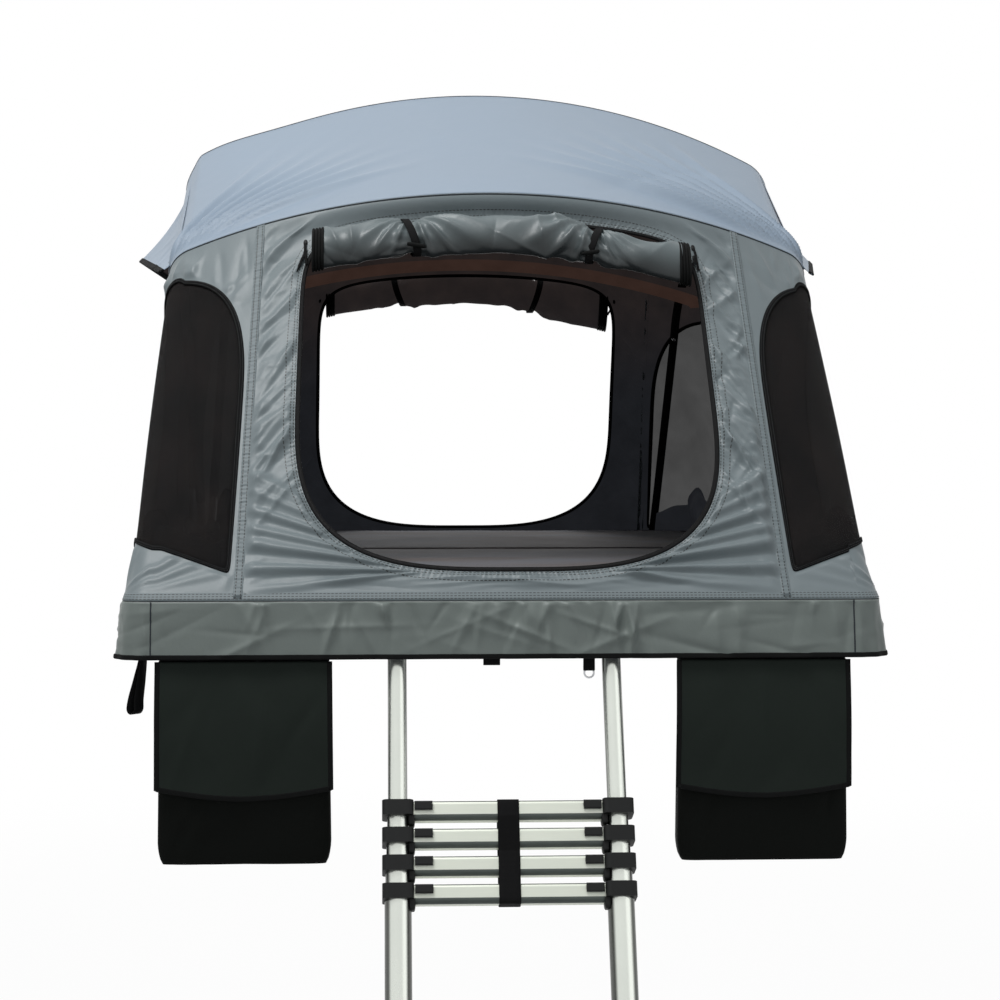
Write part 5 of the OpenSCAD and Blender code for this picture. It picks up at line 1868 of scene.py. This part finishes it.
@dataclass
class Mattress(Piecework):
    """The two mattress halves: crowned, rounded at the edges, their sides drawn in between the corners."""

    insets: tuple[float, ...] = (0.5, 0.2, 0.03, 0.008, 0.002, 0.0, 0.0, 0.003, 0.009, 0.018, 0.035, 0.07,
                                 0.13, 0.2, 0.3, 0.4, 0.5, 0.555)
    shares: tuple[float, ...] = (0.0, 0.0, 0.0, 0.03, 0.15, 0.35, 0.55, 0.70, 0.80, 0.86, 0.90, 0.925,
                                 0.945, 0.96, 0.975, 0.99, 1.0, 1.0)
    piped_ring: int = 9
    roundness: float = 14.0

    def build(self) -> None:
        """Make both halves."""
        for end in End:
            self.half(end)

    def half(self, end: End) -> None:
        """One half, as rings from the middle of its underside round the edge to the middle of its top.

        The rings are rounded squares, drawn in at the sides and the outer end. Height and inset follow a
        rounded edge that bulges at mid height, and the top rises to a slow crown with shallow waves.
        """
        low, high = (np.array(corner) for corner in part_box(f"{end.word}_mattress"))
        centre = 0.5 * (low + high)
        half = 0.5 * (high - low)
        turn = circle(260)
        ring = stack(np.cos(turn), np.sin(turn))
        n = self.roundness
        ring = ring * (np.abs(ring[:, :1]) ** n + np.abs(ring[:, 1:]) ** n) ** (-1.0 / n)
        inset = np.array(self.insets)
        share = np.array(self.shares)
        outer = smooth(ring[:, 1] * end.value * 4.0)
        draw = stack(0.008 * (1.0 - ring[:, 1] ** 2), 0.005 * (1.0 - ring[:, 0] ** 2) * outer)
        reach = np.maximum(half[:2][None, None] - inset[:, None, None], 0.002)
        plan = ring[None] * (reach - draw[None] * share[:, None, None])
        wave = 0.0016 * np.sin(plan[..., 0] * 21.0 + 1.3) * np.sin(plan[..., 1] * 17.0)
        z = low[2] + (share * (high[2] - low[2]))[:, None] + wave * smooth((share[:, None] - 0.9) * 20.0)
        grid = np.concatenate([plan + centre[:2], z[..., None]], axis=-1)
        obj = Maker.loft(f"{end.word}_mattress_cover", grid, self.finishes.mattress, grid[..., :2])
        self.fix(obj, end.body, "foam", f"{end.word}_mattress")
        edge = grid[self.piped_ring]
        up = alike(UP, len(edge))
        across = unit(np.cross(ahead_of(edge, True), up))
        piping = Maker.band(f"{end.word}_mattress_piping", edge, across, up, round_profile(0.003, 8),
                            self.finishes.mattress, True)
        self.fix(piping, end.body, "foam")


@dataclass
class ShoeBag(Piecework):
    """A shoe bag under the front edge: a sagging pouch, open in front, with a top, a web and a bound flap."""

    side: Side
    centre_x: float = 0.493
    half_w: float = 0.165
    front_y: float = -1.808
    back_y: float = -1.748
    top_z: float = -0.0534
    mouth_z: float = -0.116
    low_z: float = -0.4374
    frame_z: float = 0.0245
    web_y: float = -1.7785
    wall: float = 0.002
    flap_drop: float = 0.242
    flap_belly: float = 0.020

    def build(self) -> None:
        """Make the pouch, its top, its web and its flap."""
        self.pouch()
        self.panel("pouch_top", (self.front_y + 0.002, self.back_y), (self.top_z, self.top_z))
        self.panel("pouch_web", (self.web_y, self.web_y), (self.top_z - 0.001, self.frame_z))
        self.flap()

    def skin(self, inset: float) -> Array:
        """The pouch as rounded rectangles from its mouth down, fuller low down and drawn together under it.

        Args:
            inset: Distance in from the outer face.

        Returns:
            Rings of points from the mouth to the middle of the bottom.
        """
        turn = circle(160)
        ring = squared(stack(np.cos(turn), np.sin(turn)), 0.28)
        v = np.concatenate([np.linspace(0.0, 1.0, 40), np.ones(6)])[:, None]
        drawn = [0.995, 0.985, 0.97, 0.94, 0.8, 0.6, 0.4, 0.2, 0.1, 0.03]
        close = np.concatenate([np.ones(36), drawn])[:, None]
        top = mix(self.mouth_z, self.top_z, smooth((ring[:, 1] + 1.0) * 4.0))[None, :]
        z = mix(top, self.low_z + inset, v)
        belly = 0.88 + 0.12 * np.sin(math.pi * v**1.6)
        s = ring[None, :, 0] * (self.half_w - inset)
        folds = Creases(61 + self.side.value, 40, (-0.17, 0.17), (-0.44, -0.1), (60.0, 120.0), (0.04, 0.12),
                        (0.008, 0.02), (-0.004, 0.002)).relief(np.broadcast_to(s, z.shape), z)
        half_d = 0.5 * (self.back_y - self.front_y) - inset
        x = self.side.value * self.centre_x + s * (0.965 + 0.03 * v) * close
        y = 0.5 * (self.front_y + self.back_y) + ring[None, :, 1] * (half_d * belly + folds) * close
        return stack(x, y, z)

    def pouch(self) -> None:
        """The pouch: its inner skin from the bottom up, over the rim and down the outer skin."""
        outer = self.skin(0.0)
        grid = np.concatenate([self.skin(self.wall)[::-1], outer])
        obj = Maker.loft(f"shoe_pouch_{self.side.word}", grid, self.finishes.bag, grid[..., ::2])
        self.fix(obj, "base_front", "bag", f"shoe_bag_{self.side.word}")
        rim = outer[0]
        away = unit((rim - rim.mean(axis=0)) * np.array([1.0, 1.0, 0.0]))
        tape = Maker.band(f"pouch_rim_{self.side.word}", rim, alike(UP, len(rim)), away,
                          flat_profile(-0.009, 0.002, -0.003, 0.0012), self.finishes.piping, True)
        self.fix(tape, "base_front", "webbing")

    def panel(self, word: str, depth: tuple[float, float], rise: tuple[float, float]) -> None:
        """A cloth across the pouch's width, from one line to another, with slight waves.

        Args:
            word: The start of its name.
            depth: Its first and last Y.
            rise: Its first and last height.
        """
        s, v = np.meshgrid(np.linspace(-1.0, 1.0, 41), np.linspace(0.0, 1.0, 15))
        wave = 0.0015 * np.sin(s * 9.0) * np.sin(math.pi * v)
        x = self.side.value * self.centre_x + s * self.half_w * 0.965
        grid = stack(x, mix(*depth, v) + wave, mix(*rise, v) - wave)
        out = Maker.normals(grid, np.array([0.0, -1.6, -0.4]))
        obj = Maker.cloth(f"{word}_{self.side.word}", grid, out, [self.finishes.bag], BAG_THICK,
                          grid[..., ::2])
        self.fix(obj, "base_front", "bag")
        self.sheet(obj, grid, "hung", ["front_floor_frame"])

    def flap(self) -> None:
        """The flap: hangs over the mouth, lower in the middle, with a binding round its free edges."""
        x0 = self.side.value * self.centre_x
        body = f"bag_flap_{self.side.word}"
        s, v = np.meshgrid(np.linspace(-1.0, 1.0, 81), np.linspace(0.0, 1.0, 61))
        drop = self.flap_drop + self.flap_belly * (1.0 - np.abs(s) ** 1.7)
        waves = Creases(81 + self.side.value, 24, (-0.165, 0.165), (0.02, 0.26), (40.0, 140.0), (0.05, 0.12),
                        (0.012, 0.03), (-0.002, 0.002)).relief(s * self.half_w, v * drop)
        y = self.front_y - 0.0012 - 0.003 * smooth(v * 4.0) - 0.005 * np.sin(math.pi * v) ** 2 - 0.002 * v
        y = y + waves * smooth(v * 5.0)
        grid = stack(x0 + s * self.half_w * (1.0 + 0.012 * v), y, self.top_z - v * drop)
        out = Maker.normals(grid, np.array([x0, 0.0, -0.2]))
        obj = Maker.cloth(f"bag_cover_{self.side.word}", grid, out, [self.finishes.flap, self.finishes.bag],
                          BAG_THICK, stack(s * self.half_w, v * drop))
        self.fix(obj, body, "bag", body)
        self.sheet(obj, grid, "hung", [f"shoe_pouch_{self.side.word}"])
        edge = np.concatenate([grid[:, 0], grid[-1, 1:-1], grid[::-1, -1]])
        face = np.concatenate([out[:, 0], out[-1, 1:-1], out[::-1, -1]])
        inner = np.concatenate([grid[:, 3], grid[-4, 1:-1], grid[::-1, -4]])
        binding = Maker.band(f"flap_binding_{self.side.word}", edge, unit(inner - edge), face,
                             flat_profile(-0.0015, 0.0085, -0.0026, 0.0012), self.finishes.piping)
        self.fix(binding, body, "webbing")


@dataclass
class Straps(Piecework):
    """Webbing under the front edge: the pull loop, the tab and the strap with the ring."""

    strap_y: float = -1.780
    frame_z: float = 0.0245

    def build(self) -> None:
        """Make the three straps."""
        self.pull_loop()
        self.hanging("tie_tab", -0.024, 0.016, -0.0640)
        self.hanging("ring_strap", 0.162, 0.011, -0.0750)

    def pull_loop(self) -> None:
        """A loop of webbing that hangs outwards: down one side, round the bottom and up the other."""
        line = [(-0.6830, self.frame_z), (-0.6850, -0.040), (-0.6935, -0.085), (-0.7035, -0.125),
                (-0.7060, -0.146), (-0.6995, -0.1535), (-0.6925, -0.146), (-0.6915, -0.125),
                (-0.6865, -0.085), (-0.6815, -0.040), (-0.6800, self.frame_z)]
        path = smooth_path([(x, self.strap_y, z) for x, z in line], 120)
        turned = 0.12 + 0.75 * smooth((0.01 - path[:, 2]) / 0.14)
        across = unit(stack(turned, np.ones_like(turned), np.zeros_like(turned)))
        obj = Maker.band("pull_loop", path, across, unit(np.cross(ahead_of(path), across)),
                         strap_profile(0.012, 0.001), self.finishes.webbing)
        self.fix(obj, "base_front", "webbing", "tie_straps")

    def hanging(self, name: str, x: float, half: float, low: float) -> None:
        """A doubled strap that hangs from the frame: two layers and a folded lower end.

        Args:
            name: The piece's name.
            x: Its middle.
            half: Half its width.
            low: Its lower end.
        """
        line = [(-0.0012, self.frame_z), (-0.0016, 0.5 * low), (-0.0030, low + 0.004), (0.0, low),
                (0.0030, low + 0.004), (0.0016, 0.5 * low), (0.0012, self.frame_z)]
        path = smooth_path([(x, self.strap_y + y, z) for y, z in line], 70)
        across = alike(ACROSS, len(path))
        obj = Maker.band(name, path, across, unit(np.cross(ahead_of(path), across)),
                         strap_profile(half, 0.0007), self.finishes.webbing)
        self.fix(obj, "base_front", "webbing", "tie_straps")


@dataclass
class LadderTrim(Piecework):
    """What the ladder's solids leave out: rung beads, painted shade on the rungs' lower edges, end blocks and
    the strap round the rungs.
    """

    pivot: Point = (0.0, -1.760, -0.005)
    lean: float = 24.0
    sections: tuple[int, ...] = (2, 3, 4, 5)
    first_rung: float = 0.333
    rung_step: float = 0.052
    rung_h: float = 0.036
    rung_depth: float = 0.034
    edge_r: float = 0.008
    reach: float = 0.175

    def __post_init__(self) -> None:
        """Work out the ladder's own directions."""
        turn = math.radians(self.lean)
        self.down = np.array([0.0, -math.sin(turn), -math.cos(turn)])
        self.front = np.array([0.0, -math.cos(turn), math.sin(turn)])

    def at(self, x: Array, far: Array, ahead: Array) -> Array:
        """Points by distance across, down the ladder from its pivot, and out of its front."""
        x, far, ahead = np.broadcast_arrays(x, far, ahead)
        side = stack(x, np.zeros_like(x), np.zeros_like(x))
        return np.array(self.pivot) + side + far[..., None] * self.down + ahead[..., None] * self.front

    def rung_start(self, k: int) -> float:
        """How far down the ladder a section's rung starts."""
        return self.first_rung + self.rung_step * (k - self.sections[0])

    def build(self) -> None:
        """Make the trim of each rung, then the strap."""
        for k in self.sections:
            start = self.rung_start(k)
            self.lip(k, start)
            self.strip(f"rung_bead_{k}", k, start + 0.0022, 0.0009)
            for side in Side:
                self.end_block(k, start, side)
        self.strap()

    def strip(self, name: str, k: int, far: float, half: float) -> None:
        """A strip along a rung's front face, following the face's rounded edge.

        Args:
            name: The piece's name.
            k: The ladder section.
            far: How far down the ladder the strip's middle lies.
            half: Half its width.
        """
        x = np.linspace(-self.reach, self.reach, 40)
        centre = self.rung_start(k) + 0.5 * self.rung_h
        over = max(0.0, abs(far - centre) - 0.5 * self.rung_h + self.edge_r) / self.edge_r
        tilt = math.asin(min(1.0, over)) * math.copysign(1.0, far - centre)
        depth = 0.5 * self.rung_depth - self.edge_r * (1.0 - math.cos(tilt))
        path = self.at(x, np.full_like(x, far), np.full_like(x, depth))
        out = alike(self.front * math.cos(tilt) + self.down * math.sin(tilt), len(x))
        across = alike(self.down * math.cos(tilt) - self.front * math.sin(tilt), len(x))
        obj = Maker.band(name, path, across, out, flat_profile(-half, half, -0.0008, 0.0007),
                         self.finishes.rung_lip)
        self.fix(obj, f"ladder_{k}", "black_plastic")

    def lip(self, k: int, start: float) -> None:
        """Painted shade on a rung's lower edge: a grey skin round its corner, from its face to its underside.

        Args:
            k: The ladder section.
            start: How far down the ladder the rung starts.
        """
        # The grey skin is painted shade, where the rung's lower edge turns away from the light.
        x = np.linspace(-self.reach, self.reach, 40)
        turn = np.linspace(0.0, 0.5 * math.pi, 9)
        skins = []
        for r in (0.0087, 0.0072):
            far = np.concatenate([[0.0265], self.rung_h - self.edge_r + r * np.sin(turn)])
            ahead = np.concatenate([[r], r * np.cos(turn)]) + 0.5 * self.rung_depth - self.edge_r
            skins.append(stack(far, ahead))
        profile = np.concatenate([skins[0], skins[1][::-1]])
        path = self.at(x, np.full_like(x, start), np.zeros_like(x))
        obj = Maker.band(f"rung_lip_{k}", path, alike(self.down, len(x)), alike(self.front, len(x)), profile,
                         self.finishes.rung_lip)
        self.fix(obj, f"ladder_{k}", "black_plastic")

    def end_block(self, k: int, start: float, side: Side) -> None:
        """The black block under a collar that holds the rung's end: a rounded bar that narrows downwards."""
        far = np.linspace(start + 0.0275, start + 0.047, 16)
        share = (far - far[0]) / (far[-1] - far[0])
        size = 1.0 - 0.12 * share - 0.25 * share**8
        path = self.at(np.full_like(far, side.value * 0.1785), far, np.full_like(far, 0.004))
        turn = circle(28)
        outline = stack(squared(np.cos(turn), 0.4) * 0.0065, squared(np.sin(turn), 0.4) * 0.0150)
        obj = Maker.band(f"rung_end_{side.word}_{k}", path, alike(ACROSS, len(far)),
                         alike(self.front, len(far)), outline[None] * size[:, None, None],
                         self.finishes.collar)
        self.fix(obj, f"ladder_{k}", "black_plastic")

    def strap(self) -> None:
        """The strap round the rungs that are pushed together: a flat loop with rounded corners."""
        low = self.rung_start(self.sections[-1]) + self.rung_h + 0.0013
        high = self.first_rung - 0.0013
        turn = circle(160)
        ahead = squared(np.cos(turn), 0.25) * (0.5 * self.rung_depth + 0.0018)
        far = 0.5 * (low + high) + squared(np.sin(turn), 0.12) * 0.5 * (low - high)
        path = self.at(np.zeros_like(turn), far, ahead)
        across = alike(ACROSS, len(turn))
        obj = Maker.band("rung_band", path, across, unit(np.cross(ahead_of(path, True), across)),
                         strap_profile(0.020, 0.001), self.finishes.webbing, True)
        self.fix(obj, "ladder_2", "webbing", "rung_strap")
        anchor = self.at(np.array(0.0), np.array(self.first_rung + 0.018), np.array(0.0))
        tuple(self.down)
        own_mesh(obj)


@dataclass
class Studio:
    """Camera, floor and light."""

    eye: Point = (-0.236, -6.230, 0.358)
    focal: float = 2344.0
    aim: tuple[float, float] = (120.0, -57.0)
    floor_z: float = -1.9
    sensor: float = 36.0
    picture: float = 1000.0

    def build(self) -> None:
        """Set the studio up."""
        self.camera()
        self.floor()
        self.sky()
        self.lamp("key", (-2.0, -2.9, 5.9), (0.0, -1.2, 0.5), 2.6, 275.0)
        self.lamp("fill", (5.0, -4.6, 2.4), (0.0, -1.2, 0.3), 4.0, 25.0)
        self.lamp("back", (0.3, 5.6, 2.3), (0.0, -0.4, 0.3), 2.6, 90.0)

    def camera(self) -> None:
        """The photograph's view: just left of the middle, a little above the base, almost level."""
        lens = bpy.data.cameras.new("view")
        lens.sensor_fit = "HORIZONTAL"
        lens.sensor_width = self.sensor
        lens.lens = self.focal / self.picture * self.sensor
        lens.clip_end = 200.0
        eye = bpy.data.objects.new("view", lens)
        eye.location = self.eye
        yaw = math.atan2(self.aim[0], self.focal)
        pitch = math.atan2(self.aim[1], math.hypot(self.focal, self.aim[0]))
        eye.rotation_euler = (0.5 * math.pi + pitch, 0.0, -yaw)
        bpy.context.scene.collection.objects.link(eye)
        bpy.context.scene.camera = eye
        bpy.context.scene.view_settings.view_transform = "Standard"

    def floor(self) -> None:
        """A pale floor at the ground below a vehicle's roof, white to the camera but for a soft shadow."""
        far = 40.0
        z = self.floor_z
        points = np.array([[-far, -far, z], [far, -far, z], [far, far, z], [-far, far, z]])
        kit = NodeKit("floor")
        path = kit.node("ShaderNodeLightPath", {}, {})
        seen = Socket(kit, path.outputs["Is Camera Ray"]) + Socket(kit, path.outputs["Is Glossy Ray"])
        seen = seen + Socket(kit, path.outputs["Is Transmission Ray"])
        glow = kit.node("ShaderNodeEmission", {}, {"Color": WHITE, "Strength": 1.0})
        kit.dress(Base_Color=kit.blend(kit.noise(3.0, 3.0), (0.6, 0.6, 0.6, 1.0), (0.66, 0.66, 0.65, 1.0)),
                  Roughness=0.9)
        east = kit.axis(0)
        north = kit.axis(1)
        white = (east * east + north * north).ramp(4.0, 90.0) * 0.04 + 0.96
        blend = kit.node("ShaderNodeMixShader", {}, {0: (1.0 - seen.below(0.5)) * white,
                                                     1: kit.shader.outputs[0], 2: glow.outputs[0]})
        kit.feed(kit.output.inputs[0], blend.outputs[0])
        Maker.piece("floor", points, [np.array([[0, 1, 2, 3]])], [kit.material], points[:, :2])

    def sky(self) -> None:
        """A weak, slightly blue sky that is white to the camera and in reflections."""
        world = bpy.data.worlds.new("studio")
        world.use_nodes = True
        bpy.context.scene.world = world
        kit = NodeTree(world.node_tree)
        path = kit.node("ShaderNodeLightPath", {}, {})
        seen = path.outputs["Is Camera Ray"]
        for ray in ("Is Glossy Ray", "Is Transmission Ray"):
            most = kit.node("ShaderNodeMath", {"operation": "MAXIMUM"}, {0: seen, 1: path.outputs[ray]})
            seen = most.outputs[0]
        sky = kit.node("ShaderNodeBackground", {}, {"Color": (0.86, 0.94, 1.0, 1.0), "Strength": 0.22})
        white = kit.node("ShaderNodeBackground", {}, {"Color": WHITE, "Strength": 1.0})
        blend = kit.node("ShaderNodeMixShader", {}, {0: seen, 1: sky.outputs[0], 2: white.outputs[0]})
        kit.node("ShaderNodeOutputWorld", {}, {0: blend.outputs[0]})

    def lamp(self, name: str, place: Point, target: Point, size: float, power: float) -> None:
        """Hang a square soft lamp that looks at a point.

        Args:
            name: The lamp's name.
            place: Where it hangs.
            target: What it looks at.
            size: Its edge length.
            power: Its power in watts.
        """
        lamp = bpy.data.lights.new(name, "AREA")
        lamp.size = size
        lamp.energy = power
        obj = bpy.data.objects.new(name, lamp)
        obj.location = place
        away = np.array(target) - np.array(place)
        pitch = math.acos(-away[2] / np.linalg.norm(away))
        obj.rotation_euler = (pitch, 0.0, math.atan2(away[1], away[0]) - 0.5 * math.pi)
        bpy.context.scene.collection.objects.link(obj)


@dataclass
class Hardware(Piecework):
    """The solids that keep their own shape and only take a finish."""

    nodes: dict[str, Object]

    def build(self) -> None:
        """Dress each solid by the start of its name."""
        f = self.finishes
        rules = (
            (f.tube, ("ladder_tubes",)),
            (f.rung, ("ladder_rung",)),
            (f.collar, ("ladder_collars", "latch_")),
            (f.rubber, ("ladder_feet",)),
            (f.steel, ("ladder_pins", "rail_bolts", "pivot_", "strap_ring")),
            (f.floor, ("front_floor_panel", "rear_floor_panel")),
            (f.frame, ("ladder_brackets", "mounting_rails", "front_floor_frame", "rear_floor_frame",
                       "front_hinge", "rear_hinge", "front_bow", "ridge_bow", "rear_bow")),
        )
        for name, obj in self.nodes.items():
            finish = next((made for made, starts in rules if name.startswith(starts)), f.bag)
            obj.data.materials.clear()
            obj.data.materials.append(finish)
            LOG.info("%s is dressed in %s", name, finish.name)


def main() -> None:
    """Load the frame, build every sub-assembly in order and note the sizes."""
    logging.basicConfig(level=logging.INFO, format="%(name)s: %(message)s")
    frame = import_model()
    Studio().build()
    form = TentForm()
    finishes = Finishes()
    Hardware(form, finishes, frame["nodes"]).build()
    for end in End:
        EndCanopy(form, finishes, end).build()
        DoorRoll(form, finishes, end).build()
    Roof(form, finishes).build()
    Skirt(form, finishes).build()
    Mattress(form, finishes).build()
    for side in Side:
        ShoeBag(form, finishes, side).build()
    Straps(form, finishes).build()
    LadderTrim(form, finishes).build()


if __name__ == "__main__":
    main()
